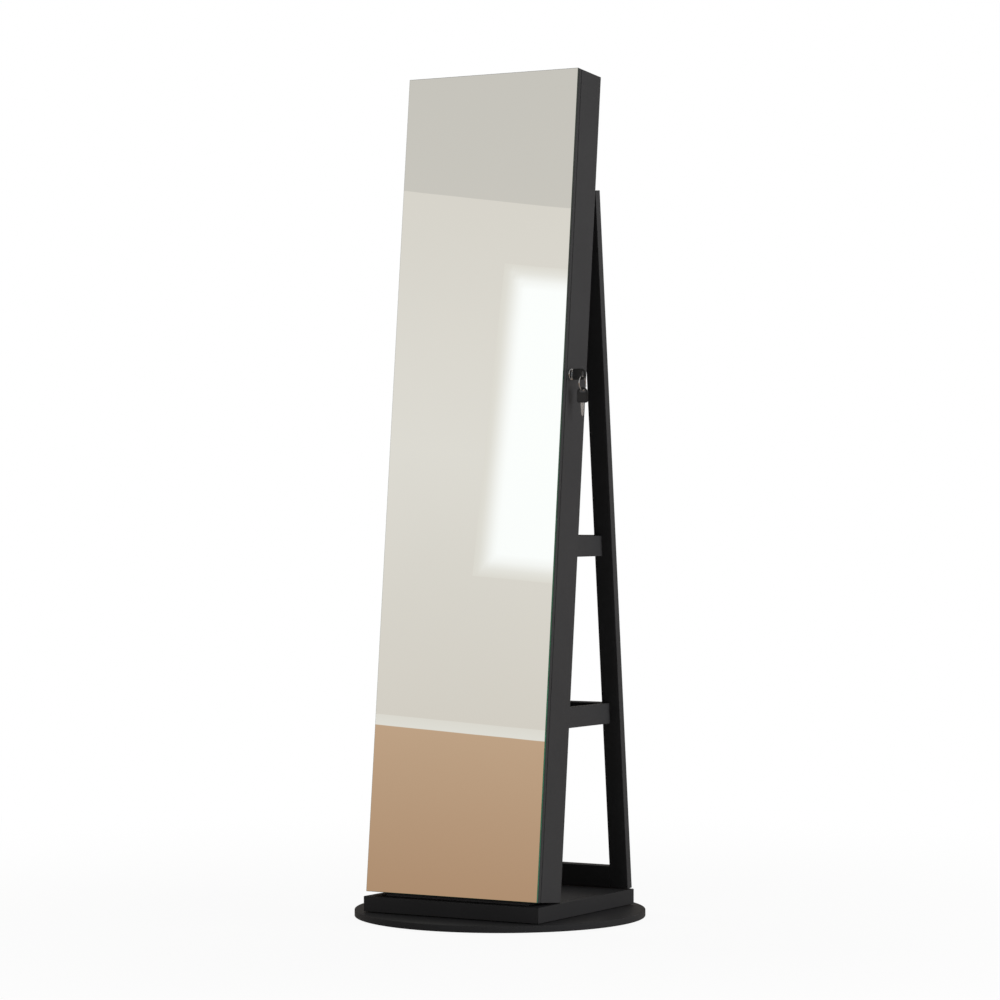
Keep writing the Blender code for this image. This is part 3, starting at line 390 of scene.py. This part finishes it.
# across, through and along, from the hole's centre: each ray comes in over the eased outline and border,
# steps down to the field and up to the hole's border, and goes back the same way on the other face
def keyHeadGrid(size, width, length, thick):
    half, corner, low = width / 2, size["corner"], size["holeCentre"] - length
    top = arc(0, size["holeCentre"] - half, half, 0, 180, size["topPoints"])
    foot = np.vstack((arc(corner - half, low + corner, corner, 180, 270, size["cornerPoints"]),
                      arc(half - corner, low + corner, corner, 270, 360, size["cornerPoints"])))
    endHalf = size["holeHeight"] / 2
    holeEnd = size["holeWidth"] / 2 - endHalf
    hole = np.vstack((arc(holeEnd, 0, endHalf, -90, 90, size["holePoints"]),
                      arc(-holeEnd, 0, endHalf, 90, 270, size["holePoints"])))
    angles = np.linspace(0, 2 * math.pi, size["rays"], endpoint=False)
    outer = rayLengths(densely(np.vstack((top, foot)), size["between"]), angles)
    inner = rayLengths(densely(hole, size["between"]), angles)
    ease, holeEase, step = size["outerEase"], size["holeEase"], size["step"]
    border, holeBorder = size["border"], size["holeBorder"]
    face, field = thick / 2, thick / 2 - size["recess"]
    outEdge = arc(ease, face - ease, ease, 180, 90, size["easePoints"])   # inset from the outline, height
    inEdge = arc(holeEase, face - holeEase, holeEase, 90, 180, size["easePoints"])   # offset from the hole
    fromOuter = np.vstack((outEdge, [(border, face), (border + step, field)]))
    fromHole = np.vstack(([(holeBorder + step, field), (holeBorder, face)], inEdge))
    radii = np.vstack((outer - fromOuter[:, :1], inner + fromHole[:, :1]))
    heights = np.concatenate((fromOuter[:, 1], fromHole[:, 1]))
    radii, heights = np.vstack((radii, radii[::-1])), np.concatenate((heights, -heights[::-1]))
    return radii * np.cos(angles), np.repeat(heights[:, None], len(angles), 1), radii * np.sin(angles)


def makeKeyHead(name, node, axes, body, size):  # the head's grid, moved into the middle of its node
    low, high = reachBox(node, axes)
    across, through, along = keyHeadGrid(size, high[0] - low[0], high[2] - low[2], high[1] - low[1])
    grid = spread(axes, across + (low[0] + high[0]) / 2, through + (low[1] + high[1]) / 2,
                  along + high[2] - size["holeCentre"])
    mesh = gridMesh(name, [grid], wrapRows=True, sharp=40)
    addPiece(name, mesh, keyPlastic, body, "key_plastic", node)


# key blades: a milled section, as wide at each height as the cuts leave it
keyBlade = {"cuts": (0.0013, 0.0006, 0.0016, 0.0009), "land": 0.0003, "tip": 0.0012, "tang": 0.007,
            "groove": (-0.0011, 0.0007), "grooveDepth": 0.00042, "grooveSide": 0.0002, "tipShare": 0.5}


# rows of a grooved section up the blade, each clipped to the width that the cuts and the tip leave there
def makeKeyBlade(name, node, axes, body, size):
    low, high = reachBox(node, axes)
    middle, edge, thick = (low + high) / 2, (high[0] - low[0]) / 2, (high[1] - low[1]) / 2
    length = high[2] - low[2] - size["tang"]
    cuts = np.array(size["cuts"])
    pitch = (length - 2 * edge) / (len(cuts) + 1)
    flank = (pitch - size["land"]) / 2
    centres = edge + (np.arange(len(cuts)) + 0.5) * pitch
    uncut = np.full(len(cuts), edge)
    cutHeights = np.stack((centres - flank, centres, centres + flank), -1).ravel()
    cutLimits = np.stack((uncut, edge - cuts, uncut), -1).ravel()
    heights = np.concatenate(([0.0, edge], cutHeights, [length + size["tang"]]))
    limits = np.concatenate(([size["tip"], edge], cutLimits, [edge]))
    order = np.argsort(heights, kind="stable")
    heights, limits = heights[order], limits[order]
    other = np.minimum(edge, size["tip"] + heights * (edge - size["tip"]) / edge)
    start, end = size["groove"]
    side = size["grooveSide"]
    across = np.array((-edge, start - side, start, end, end + side, edge))
    through = thick - np.array((0, 0, size["grooveDepth"], size["grooveDepth"], 0, 0))
    across, through = np.concatenate((across, across[::-1])), np.concatenate((through, -through[::-1]))
    narrowing = size["tipShare"] + (1 - size["tipShare"]) * np.clip(heights / length, 0, 1)
    wide = np.clip(across[None, :], -other[:, None], limits[:, None]) * narrowing[:, None]
    deep = np.repeat(through[None, :], len(heights), 0)
    tall = np.repeat(heights[:, None], len(across), 1)
    wide, deep, tall = capped(wide, 0, 0), capped(deep, 0, 0), capped(tall, tall[0, 0], tall[-1, 0])
    grid = spread(axes, wide + middle[0], deep + middle[1], tall + low[2])
    mesh = gridMesh(name, [grid], sharp=25)
    addPiece(name, mesh, nickel, body, "steel", node)


spareTurn = math.radians(30)   # the spare key's plate about the vertical
keyAxes = (-leanUp, leanIn, right)
spareAxes = (np.array((math.cos(spareTurn), math.sin(spareTurn), 0)),
             np.array((-math.sin(spareTurn), math.cos(spareTurn), 0)), up)
makeKeyHead("keyHead", "key_head", keyAxes, "lock_core", keyHead)
makeKeyBlade("keyBlade", "key_blade", keyAxes, "lock_core", keyBlade)
makeKeyHead("spareKeyHead", "spare_key_head", spareAxes, "spare_key", keyHead)
makeKeyBlade("spareKeyBlade", "spare_key_blade", spareAxes, "spare_key", keyBlade)

# split ring: flattened wire wound twice round
splitRing = {"turns": 1.96, "radial": 0.00086, "axial": 0.00042, "pitch": 0.000882, "steps": 180,
             "sectionPoints": 14}


def makeSplitRing(size):  # an oval section carried along a screw line of nearly two turns
    low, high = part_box("key_ring")
    centre, radius = (np.array(low) + np.array(high)) / 2, (high.z - low.z) / 2 - size["radial"]
    t = np.linspace(0, 2 * math.pi * size["turns"], size["steps"])
    outward = np.cos(t)[:, None] * back + np.sin(t)[:, None] * up
    shift = size["pitch"] * (t / (2 * math.pi) - size["turns"] / 2)
    path = centre + radius * outward + shift[:, None] * right
    s = np.linspace(0, 2 * math.pi, size["sectionPoints"], endpoint=False)
    section = np.stack((size["radial"] * np.cos(s), size["axial"] * np.sin(s)), -1)
    grid = carried(path, outward, np.repeat(right[None], len(t), 0), section, np.ones(len(t)))
    mesh = gridMesh("splitRing", [grid], sharp=50)
    addPiece("splitRing", mesh, chrome, "ring", "chrome", "key_ring")


makeSplitRing(splitRing)
print("lock and keys made")


# soft ring pad: foam rolls side by side in a velvet cover, drawn in at their ends and seams
ringPad = {"rolls": 8, "seam": 0.0045, "endRound": 0.011, "fullness": 0.55, "across": 90, "perRoll": 18,
           "pucker": 0.00028, "puckerPitch": 0.0135}


# rise: the seams plus a crown for each roll, times a quarter round at the ends, with puckers in the seams
def makeRingPad(size):
    low, high = reachBox("ring_pad", leanAxes)
    depth = high[1] - low[1]
    side = np.linspace(-1, 1, size["across"])
    x = (low[0] + high[0]) / 2 + np.sin(side * math.pi / 2) * (high[0] - low[0]) / 2   # closer at the ends
    fromEnd = np.clip(np.minimum(x - low[0], high[0] - x) / size["endRound"], 0, 1)
    draw = np.sqrt(1 - (1 - fromEnd) ** 2)   # quarter round at each end
    share = np.linspace(0, size["rolls"], size["rolls"] * size["perRoll"] + 1)
    crown = np.abs(np.sin(math.pi * share)) ** size["fullness"]
    wave = size["pucker"] * np.sin(2 * math.pi * x / size["puckerPitch"])
    pucker = wave[:, None] * (1 - crown) * draw[:, None]
    rise = (size["seam"] + (depth - size["seam"]) * crown) * draw[:, None] + pucker
    front = high[1] - np.clip(rise, 0, depth)
    along = low[2] + (high[2] - low[2]) * share / size["rolls"]
    tall = np.concatenate((along, along[::-1]))
    deep = np.hstack((front, np.full_like(front, high[1])))
    mesh = gridMesh("ringPad", [spread(leanAxes, x[:, None], deep, tall[None, :])], sharp=60)
    pad = addPiece("ringPad", mesh, paleVelvet, "turning_cabinet", "velvet", "ring_pad")


makeRingPad(ringPad)

# bracelet roll: a stuffed velvet sleeve on a rod, gathered at both ends
braceletRoll = {"gather": 0.012, "endShare": 0.72, "folds": 11, "foldDepth": 0.00035, "lengthSteps": 120,
                "steps": 44}


def makeBraceletRoll(size):  # radius: full in the middle, drawn in round both ends, less the gathered folds
    low, high = reachBox("bracelet_rod", leanAxes)
    middle, radius = (low + high) / 2, (high[2] - low[2]) / 2
    x = np.linspace(low[0], high[0], size["lengthSteps"])
    t = np.linspace(0, 2 * math.pi, size["steps"], endpoint=False)
    fromEnd = np.clip(np.minimum(x - low[0], high[0] - x) / size["gather"], 0, 1)
    plump = size["endShare"] + (1 - size["endShare"]) * np.sqrt(1 - (1 - fromEnd) ** 2)
    fold = size["foldDepth"] * (1 - fromEnd[:, None]) * (1 + np.cos(size["folds"] * t)[None, :]) / 2
    thick = (radius * plump)[:, None] - fold
    along = capped(np.repeat(x[:, None], size["steps"], 1), low[0], high[0])
    deep = capped(middle[1] + thick * np.cos(t), middle[1], middle[1])
    tall = capped(middle[2] + thick * np.sin(t), middle[2], middle[2])
    mesh = gridMesh("braceletRoll", [spread(leanAxes, along, deep, tall)], sharp=60)
    roll = addPiece("braceletRoll", mesh, paleVelvet, "turning_cabinet", "velvet", "bracelet_rod")


makeBraceletRoll(braceletRoll)

# velvet linings: cloth laid on or stretched over a board, with the least of ripples
velvetLining = {"tuck": 0.0003, "thickness": 0.0011, "ripple": 0.00018, "across": 36, "tall": 150}
doorLining = {"side": 0.042, "end": 0.045, "thickness": 0.0008, "ripple": 0.00005, "across": 36,
              "tall": 150}
shelfLiner = {"shelf": 0.008, "lip": 0.006, "inset": 0.0008, "thickness": 0.0009, "ripple": 0.00012,
              "across": 60, "tall": 12}
clothWave = {"across": 23, "tall": 7, "shift": 1.3}   # radians per metre, and radians


# a cloth sheet: flat over its two sides, lifted by a slow ripple, thickened towards what carries it
def makeCloth(name, node, body, axes, low, high, lift, held, size, *stoodFor):
    a, c = np.linspace(low[0], high[0], size["across"]), np.linspace(low[1], high[1], size["tall"])
    waveA, waveC = np.sin(clothWave["across"] * a), np.sin(clothWave["tall"] * c + clothWave["shift"])
    ripple = size["ripple"] * (1 + waveA[None, :] * waveC[:, None])
    grid = spread(axes, a[None, :], lift + ripple, c[:, None])
    mesh = gridMesh(name, [grid], wrapCols=False, closed=False)
    cloth = addPiece(name, mesh, velvet, body, "velvet", *stoodFor)
    backing = cloth.modifiers.new("backing", "SOLIDIFY")
    backing.thickness = size["thickness"]
    backing.offset = -1.0


def makeLinings():  # each cloth's rectangle and height follow the board that carries it
    low, high = reachBox("back_lining", leanAxes)
    tuck = velvetLining["tuck"]   # closes the joint all round
    makeCloth("velvetLining", "cabinet_back", "turning_cabinet", leanAxes, low[[0, 2]] - tuck,
              high[[0, 2]] + tuck, low[1], "stretched", velvetLining, "back_lining")
    low, high = reachBox("door_panel", leanAxes)
    inset = np.array((doorLining["side"], doorLining["end"]))
    lift = -high[1] - doorLining["thickness"] - 2 * doorLining["ripple"]
    makeCloth("doorLining", "door_panel", "mirror_door", (right, -leanIn, leanUp), low[[0, 2]] + inset,
              high[[0, 2]] - inset, lift, "stretched", doorLining)
    for place in ("lower", "middle", "upper"):
        shelf = place + "_shelf"
        low, high = reachBox(shelf, leanAxes)
        inset = shelfLiner["inset"]
        front, top = low[1] + shelfLiner["lip"], low[2] + shelfLiner["shelf"]
        makeCloth(place + "ShelfLiner", shelf, "turning_cabinet", (right, leanUp, leanIn),
                  np.array((low[0] + inset, front + inset)), np.array((high[0] - inset, high[1] - inset)),
                  top + shelfLiner["thickness"], "laid", shelfLiner)


makeLinings()

# necklace hooks: bright bent wires with a cup at the root and a ball at the tip, on an eased rail
hookRail = {"thickness": 0.010, "ease": 0.0012, "easePoints": 5}
necklaceHooks = {"count": 9, "end": 0.022, "wire": 0.0016, "reach": 0.022, "rise": 0.009, "cup": 0.0042,
                 "cupDepth": 0.0014, "cupFoot": 0.00182, "ball": 0.0026, "ballSeat": 0.6, "ballFrom": -60,
                 "ballTo": 80, "ballPoints": 9, "bendPoints": 14, "steps": 16}


def makeHookRail(size):  # a block with rounded edges, as deep as the rail without its hooks
    low, high = reachBox("necklace_hook_rail", leanAxes)
    face = low.copy()
    face[1] = high[1] - size["thickness"]
    block = roundedBlock(leanAxes, face, high, size["ease"], size["easePoints"])
    addPiece("hookRail", gridMesh("hookRail", [block], sharp=20), blackBoard, "turning_cabinet",
             "black_board", "necklace_hook_rail")


# a round section carried out of the rail, up a quarter bend and over a ball, thick as each of them asks
def makeNecklaceHooks(size, rail):
    low, high = reachBox("necklace_hook_rail", leanAxes)
    root, middle = high[1] - rail["thickness"], (low[2] + high[2]) / 2
    wire, rise, cup = size["wire"], size["rise"], size["cup"]
    straight = size["reach"] - rise
    bend = arc(root - straight, middle + rise, rise, 270, 180, size["bendPoints"])
    out = np.array([(root - step, middle) for step in (0, size["cupDepth"], size["cupFoot"])])
    turn = np.radians(np.linspace(size["ballFrom"], size["ballTo"], size["ballPoints"]))
    climb = bend[-1, 1] + size["ball"] * (size["ballSeat"] + np.sin(turn))
    ball = np.stack((np.full_like(climb, bend[-1, 0]), climb), -1)
    line = np.vstack((out, bend, ball))
    thick = np.concatenate(([cup, cup, wire], np.full(len(bend), wire), size["ball"] * np.cos(turn)))
    run = np.gradient(line, axis=0)
    run /= np.linalg.norm(run, axis=1)[:, None]
    s = np.linspace(0, 2 * math.pi, size["steps"], endpoint=False)
    section = np.stack((np.cos(s), np.sin(s)), -1)
    normal = spread((leanIn, leanUp), -run[:, 1], run[:, 0])
    path = spread((leanIn, leanUp), line[:, 0], line[:, 1])
    one = carried(path, normal, np.repeat(right[None], len(line), 0), section, thick)
    places = np.linspace(low[0] + size["end"], high[0] - size["end"], size["count"])
    mesh = gridMesh("necklaceHooks", [one + x * right for x in places], sharp=50)
    addPiece("necklaceHooks", mesh, chrome, "turning_cabinet", "chrome")


makeHookRail(hookRail)
makeNecklaceHooks(necklaceHooks, hookRail)
print("soft fittings and hooks made")


# small fasteners: domed discs, with a cross pressed into the screws
hingeScrew = {"radius": 0.0022, "height": 0.00012, "spacing": 0.020, "fromEdge": 0.0052, "fromPin": 0.0002,
              "arm": 0.20, "depth": 0.6}
strikeScrew = {"radius": 0.0027, "height": 0.0006, "plate": 0.003, "fromEnd": (0.0055, 0.0150), "arm": 0.20,
               "depth": 0.6}
magnetScrew = {"radius": 0.0022, "height": 0.00015, "share": 0.66, "arm": 0.20, "depth": 0.6}
magnetPoles = {"width": 0.026, "thickness": 0.0016, "apart": 0.0052, "proud": 0.00012, "sunk": 0.0006,
               "ease": 0.0001, "easePoints": 3}
doorBumper = {"radius": 0.0042, "height": 0.0009, "fromEnd": 0.060, "arm": 0.0, "depth": 0.0}
camCap = {"radius": 0.0085, "height": 0.0009, "fromEnd": 0.020, "arm": 0.0, "depth": 0.0}
screwGrid = {"rings": 9, "steps": 40, "crossReach": 0.62, "fullness": 1.06, "power": 4}


# a dome that stays flat in the middle and falls at the edge, less the depth of a cross in its middle
def screwHead(centre, out, sideA, sideB, size):
    share = np.linspace(1, 0, screwGrid["rings"])
    t = np.linspace(0, 2 * math.pi, screwGrid["steps"], endpoint=False)
    a, b = share[:, None] * np.cos(t), share[:, None] * np.sin(t)
    dome = np.sqrt(np.clip(screwGrid["fullness"] - share ** screwGrid["power"], 0, 1))[:, None]
    inCross = (np.minimum(np.abs(a), np.abs(b)) < size["arm"] / 2) & (
        np.maximum(np.abs(a), np.abs(b)) < screwGrid["crossReach"])
    lift = size["height"] * (dome - size["depth"] * inCross)
    foot = np.stack((a[0], b[0]), -1) * size["radius"]
    top = centre + size["radius"] * (a[..., None] * sideA + b[..., None] * sideB) + lift[..., None] * out
    base = centre + foot[:, :1] * sideA + foot[:, 1:] * sideB
    middle = np.repeat(np.asarray(centre)[None], screwGrid["steps"], 0)
    return np.concatenate((middle[None], base[None], top))


def makeHingeScrews(size):  # three heads up each leaf, level with the pin
    pin = np.array(joints["door_hinge"]["pos_m"], float) @ leanIn
    for owner, body, out in (("box", "turning_cabinet", -1), ("door", "mirror_door", 1)):
        heads = []
        for place in ("lower", "middle", "upper"):
            low, high = reachBox("hinge_%s_%s_leaf" % (place, owner), leanAxes)
            for step in (-1, 0, 1):
                centre = spread(leanAxes, high[0] - size["fromEdge"], pin - out * size["fromPin"],
                                (low[2] + high[2]) / 2 + step * size["spacing"])
                heads.append(screwHead(centre, out * leanIn, right, leanUp, size))
        name = owner + "HingeScrews"
        addPiece(name, gridMesh(name, heads, sharp=30), steel, body, "steel")


# heads on the strike and the magnet's plate, two strips in the magnet, dots near the ends of the side
def makeCatchDetails(strike, screw, poles, bumper):
    low, high = reachBox("lock_strike", leanAxes)
    heads = [screwHead(spread(leanAxes, (low[0] + high[0]) / 2, low[1] + strike["plate"], high[2] - down),
                       leanIn, right, leanUp, strike) for down in strike["fromEnd"]]
    low, high = reachBox("magnet_plate", leanAxes)
    middle, half = (low + high) / 2, (high - low) / 2
    heads += [screwHead(spread(leanAxes, middle[0] + side * screw["share"] * half[0], high[1], middle[2]),
                        leanIn, right, leanUp, screw) for side in (-1, 1)]
    addPiece("catchScrews", gridMesh("catchScrews", heads, sharp=30), steel, "mirror_door", "steel")
    low, high = reachBox("magnet_catch", leanAxes)
    middle = (low + high) / 2
    strips = []
    for side in (-1, 1):
        centre = np.array((middle[0], low[1] + (poles["sunk"] - poles["proud"]) / 2,
                           middle[2] + side * poles["apart"] / 2))
        half = np.array((poles["width"], poles["sunk"] + poles["proud"], poles["thickness"])) / 2
        strip = roundedBlock(leanAxes, centre - half, centre + half, poles["ease"], poles["easePoints"])
        strips.append(strip)
    addPiece("magnetPoles", gridMesh("magnetPoles", strips, sharp=20), steel, "turning_cabinet", "steel")
    low, high = reachBox("cabinet_right_side", leanAxes)
    middle = (low + high) / 2
    dots = [screwHead(spread(leanAxes, middle[0], low[1], tall), -leanIn, right, leanUp, bumper)
            for tall in (low[2] + bumper["fromEnd"], high[2] - bumper["fromEnd"])]
    addPiece("doorBumpers", gridMesh("doorBumpers", dots, sharp=30), nylon, "turning_cabinet", "nylon")


makeHingeScrews(hingeScrew)
makeCatchDetails(strikeScrew, magnetScrew, magnetPoles, doorBumper)

# directions of the rear frame, from the long way of its stile
stile = points("rear_right_stile")
rearUp = np.linalg.svd(stile - stile.mean(0), full_matrices=False)[2][0]
rearUp *= np.sign(rearUp[2])
rearOut = np.cross(rearUp, right)
rearOut *= np.sign(rearOut[1])
rearAxes = (right, rearOut, rearUp)


def makeCamCaps(size):  # a flat dome near both ends of every rail
    caps = []
    for place in ("bottom", "lower", "upper", "top"):
        low, high = reachBox("rear_%s_rail" % place, rearAxes)
        for x in (low[0] + size["fromEnd"], high[0] - size["fromEnd"]):
            centre = spread(rearAxes, x, high[1], (low[2] + high[2]) / 2)
            caps.append(screwHead(centre, rearOut, right, rearUp, size))
    addPiece("camCaps", gridMesh("camCaps", caps, sharp=30), keyPlastic, "turning_cabinet", "key_plastic")


makeCamCaps(camCap)
print("fasteners made")


# camera at the photograph's viewing angle
viewPoint = {"azimuth": 30.739, "distance": 6.2816, "height": 0.7694, "pitch": -0.037, "lens": 122.87,
             "sensor": 36.0}


def makeCamera(size):  # on a circle round the object, turned to its middle
    turn = math.radians(size["azimuth"])
    data = bpy.data.cameras.new("camera")
    data.lens, data.sensor_width = size["lens"], size["sensor"]
    camera = bpy.data.objects.new("camera", data)
    away = size["distance"]
    camera.location = (away * math.sin(turn), -away * math.cos(turn), size["height"])
    camera.rotation_euler = (math.pi / 2 + math.radians(size["pitch"]), 0, turn)
    bpy.context.scene.collection.objects.link(camera)
    bpy.context.scene.camera = camera


makeCamera(viewPoint)


# studio: pale floor and white surround; plain glowing surfaces, their tones painted light for a lit studio, and
# one softbox that only reflections see
studio = {"floor": 40.0, "floorColour": "#C4C3C1", "floorRoughness": 0.9, "glowNear": 0.93,
          "fadeFrom": 0.35, "fadeTo": 2.2, "ambient": 0.08}
reflectedRoom = {"steps": 96, "rear": 0.52, "rearFrom": 0.05, "rearTo": 0.55, "profile": (   # out, up, tone
    (0.0, 0.0006, "#A8A39D"), (2.5, 0.0006, "#AB9C8C"), (8.0, 0.0006, "#B28A69"), (8.0, 1.14, "#D2B193"),
    (8.0, 1.142, "#F6F2EB"), (8.0, 1.185, "#F2EDE5"), (8.0, 1.187, "#E9E2D9"), (8.0, 2.30, "#F4EFE8"),
    (8.0, 3.40, "#EEE8E0"), (8.0, 3.402, "#DDD8D1"), (8.0, 6.0, "#D2CEC8"), (0.0, 6.0, "#A5A29E"))}
softbox = {"azimuth": -28.4, "distance": 7.6, "width": 0.70, "low": 1.74, "high": 3.04, "rows": 40,
           "feather": 0.10, "bright": 1.22, "edgeTone": "#F3EEE6"}
lamps = {"key": {"at": (3.6, 0.40, 1.25), "aim": (0, 0, 0.9), "size": (2.6, 2.4), "power": 172},
         "left": {"at": (-3.3, 0.7, 1.5), "aim": (0, 0, 0.9), "size": (1.5, 2.2), "power": 80},
         "rear": {"at": (-0.2, 4.0, 1.1), "aim": (0, 0, 0.8), "size": (2.0, 1.8), "power": 110},
         "front": {"at": (-0.4, -5.5, 1.4), "aim": (0, 0, 0.8), "size": (2.0, 1.6), "power": 115}}


def lightPathSeen(tree):  # 1 for rays that look straight at the surround, or at it in metal and glass
    path = addNode(tree, "ShaderNodeLightPath", {}, {})
    total = path.outputs["Is Camera Ray"]
    for other in ("Is Glossy Ray", "Is Transmission Ray"):
        total = addNode(tree, "ShaderNodeMath", {"operation": "MAXIMUM"},
                        {0: total, 1: path.outputs[other]}).outputs[0]
    return total


def makeWorld(size):  # white where it is seen, weak as light
    world = bpy.data.worlds.new("studio")
    world.use_nodes = True
    bpy.context.scene.world = world
    tree = world.node_tree
    background = tree.nodes["Background"]
    background.inputs["Color"].default_value = (1, 1, 1, 1)
    strength = addNode(tree, "ShaderNodeMapRange", {},
                       {"Value": lightPathSeen(tree), "To Min": size["ambient"], "To Max": 1.0})
    tree.links.new(strength.outputs["Result"], background.inputs["Strength"])


def stageSurface(name, grid, wrap):  # a grid as a surface that isn't part of the object
    mesh = gridMesh(name, [grid], wrapCols=wrap, closed=False)
    surface = bpy.data.objects.new(name, mesh)
    bpy.context.scene.collection.objects.link(surface)
    return surface


def paintTone(surface, grid, colours):  # plain light whose colour is kept at the surface's points
    mesh = surface.data
    places = np.empty(len(mesh.vertices) * 3, np.float32)
    mesh.vertices.foreach_get("co", places)
    nearest = np.linalg.norm(places.reshape(-1, 1, 3) - grid.reshape(1, -1, 3), axis=2).argmin(1)
    tone = mesh.attributes.new("tone", "FLOAT_COLOR", "POINT")
    tone.data.foreach_set("color", colours.reshape(-1, 4)[nearest].astype(np.float32).ravel())
    material, tree, shader = newMaterial(surface.name + "Light")
    tree.nodes.remove(shader)
    kept = addNode(tree, "ShaderNodeAttribute", {"attribute_name": "tone"}, {}).outputs["Color"]
    glow = addNode(tree, "ShaderNodeEmission", {}, {"Color": kept, "Strength": 1.0})
    tree.links.new(glow.outputs[0], tree.nodes["Material Output"].inputs["Surface"])
    mesh.materials.append(material)


def makeFloor(size):  # pale and lit near the object, fading to the white of the surround
    half = size["floor"] / 2
    x, y = np.meshgrid((-half, half), (-half, half))
    floor = stageSurface("floor", spread(worldAxes, x, y, 0 * x), False)
    material, tree, shader = newMaterial("paleFloor")
    shader.inputs["Base Color"].default_value = linear(size["floorColour"])
    shader.inputs["Roughness"].default_value = size["floorRoughness"]
    place = addNode(tree, "ShaderNodeTexCoord", {}, {}).outputs["Object"]
    away = addNode(tree, "ShaderNodeVectorMath", {"operation": "LENGTH"}, {0: place}).outputs["Value"]
    fade = addNode(tree, "ShaderNodeMapRange", {"interpolation_type": "SMOOTHSTEP"},
                   {"Value": away, "From Min": size["fadeFrom"], "From Max": size["fadeTo"],
                    "To Min": size["glowNear"], "To Max": 1.0}).outputs["Result"]
    share = addNode(tree, "ShaderNodeMath", {"operation": "MULTIPLY"}, {0: lightPathSeen(tree), 1: fade})
    glow = addNode(tree, "ShaderNodeEmission", {}, {"Color": (1, 1, 1, 1), "Strength": 1.0})
    mix = addNode(tree, "ShaderNodeMixShader", {},
                  {0: share.outputs[0], 1: shader.outputs[0], 2: glow.outputs[0]})
    tree.links.new(mix.outputs[0], tree.nodes["Material Output"].inputs["Surface"])
    floor.data.materials.append(material)


def reflectionOnly(surface):  # unseen by the camera, and neither lights nor shades
    surface.visible_camera = surface.visible_diffuse = surface.visible_shadow = False


def makeReflectedRoom(size):  # a turned shell glowing with a tone for each row, painted light for its floor, walls and ceiling, dimmed smoothly towards the rear as painted shade
    profile = np.array([(radius, height) for radius, height, tone in size["profile"]])
    tones = np.array([linear(tone) for radius, height, tone in size["profile"]])
    grid = turned(profile, np.zeros(3), up, right, back, size["steps"])
    away = np.linalg.norm(grid[..., :2], axis=2)
    facing = np.divide(-grid[..., 1], away, out=np.ones_like(away), where=away > 0)
    front = np.clip((facing - size["rearFrom"]) / (size["rearTo"] - size["rearFrom"]), 0, 1)
    bright = size["rear"] + (1 - size["rear"]) * front * front * (3 - 2 * front)
    room = stageSurface("reflectedRoom", grid, True)
    paintTone(room, grid, tones[:, None, :] * bright[..., None])
    reflectionOnly(room)


def makeSoftbox(size):  # a flat face turned to the object, brightest in the middle and soft at its edge
    turn = math.radians(size["azimuth"])
    out = np.array((math.sin(turn), -math.cos(turn), 0.0))
    across = np.array((math.cos(turn), math.sin(turn), 0.0))
    a = np.linspace(-size["width"] / 2, size["width"] / 2, size["rows"])[None, :]
    z = np.linspace(size["low"], size["high"], size["rows"])[:, None]
    inside = np.minimum(size["width"] / 2 - np.abs(a), np.minimum(z - size["low"], size["high"] - z))
    share = np.clip(inside / size["feather"], 0, 1)
    share = (share * share * (3 - 2 * share))[..., None]
    glow = np.array(linear(size["edgeTone"])) * (1 - share) + size["bright"] * share
    grid = spread((across, out, up), a, size["distance"], z)
    face = stageSurface("softboxFace", grid, False)
    paintTone(face, grid, glow)
    reflectionOnly(face)


def makeLamps(setups):  # each lamp's tilt and turn come from the way between its place and its aim
    for name, setup in setups.items():
        data = bpy.data.lights.new(name, "AREA")
        data.shape, data.energy = "RECTANGLE", setup["power"]
        data.size, data.size_y = setup["size"]
        lamp = bpy.data.objects.new(name, data)
        at, aim = np.array(setup["at"], float), np.array(setup["aim"], float)
        away = at - aim
        lamp.location = at
        tilt = math.atan2(math.hypot(away[0], away[1]), away[2])
        lamp.rotation_euler = (tilt, 0, math.atan2(away[0], -away[1]))
        lamp.visible_glossy = False   # the softbox stands for them in reflections
        bpy.context.scene.collection.objects.link(lamp)


makeWorld(studio)
makeFloor(studio)
makeReflectedRoom(reflectedRoom)
makeSoftbox(softbox)
makeLamps(lamps)
bpy.context.scene.view_settings.view_transform = "Standard"
print("studio made")
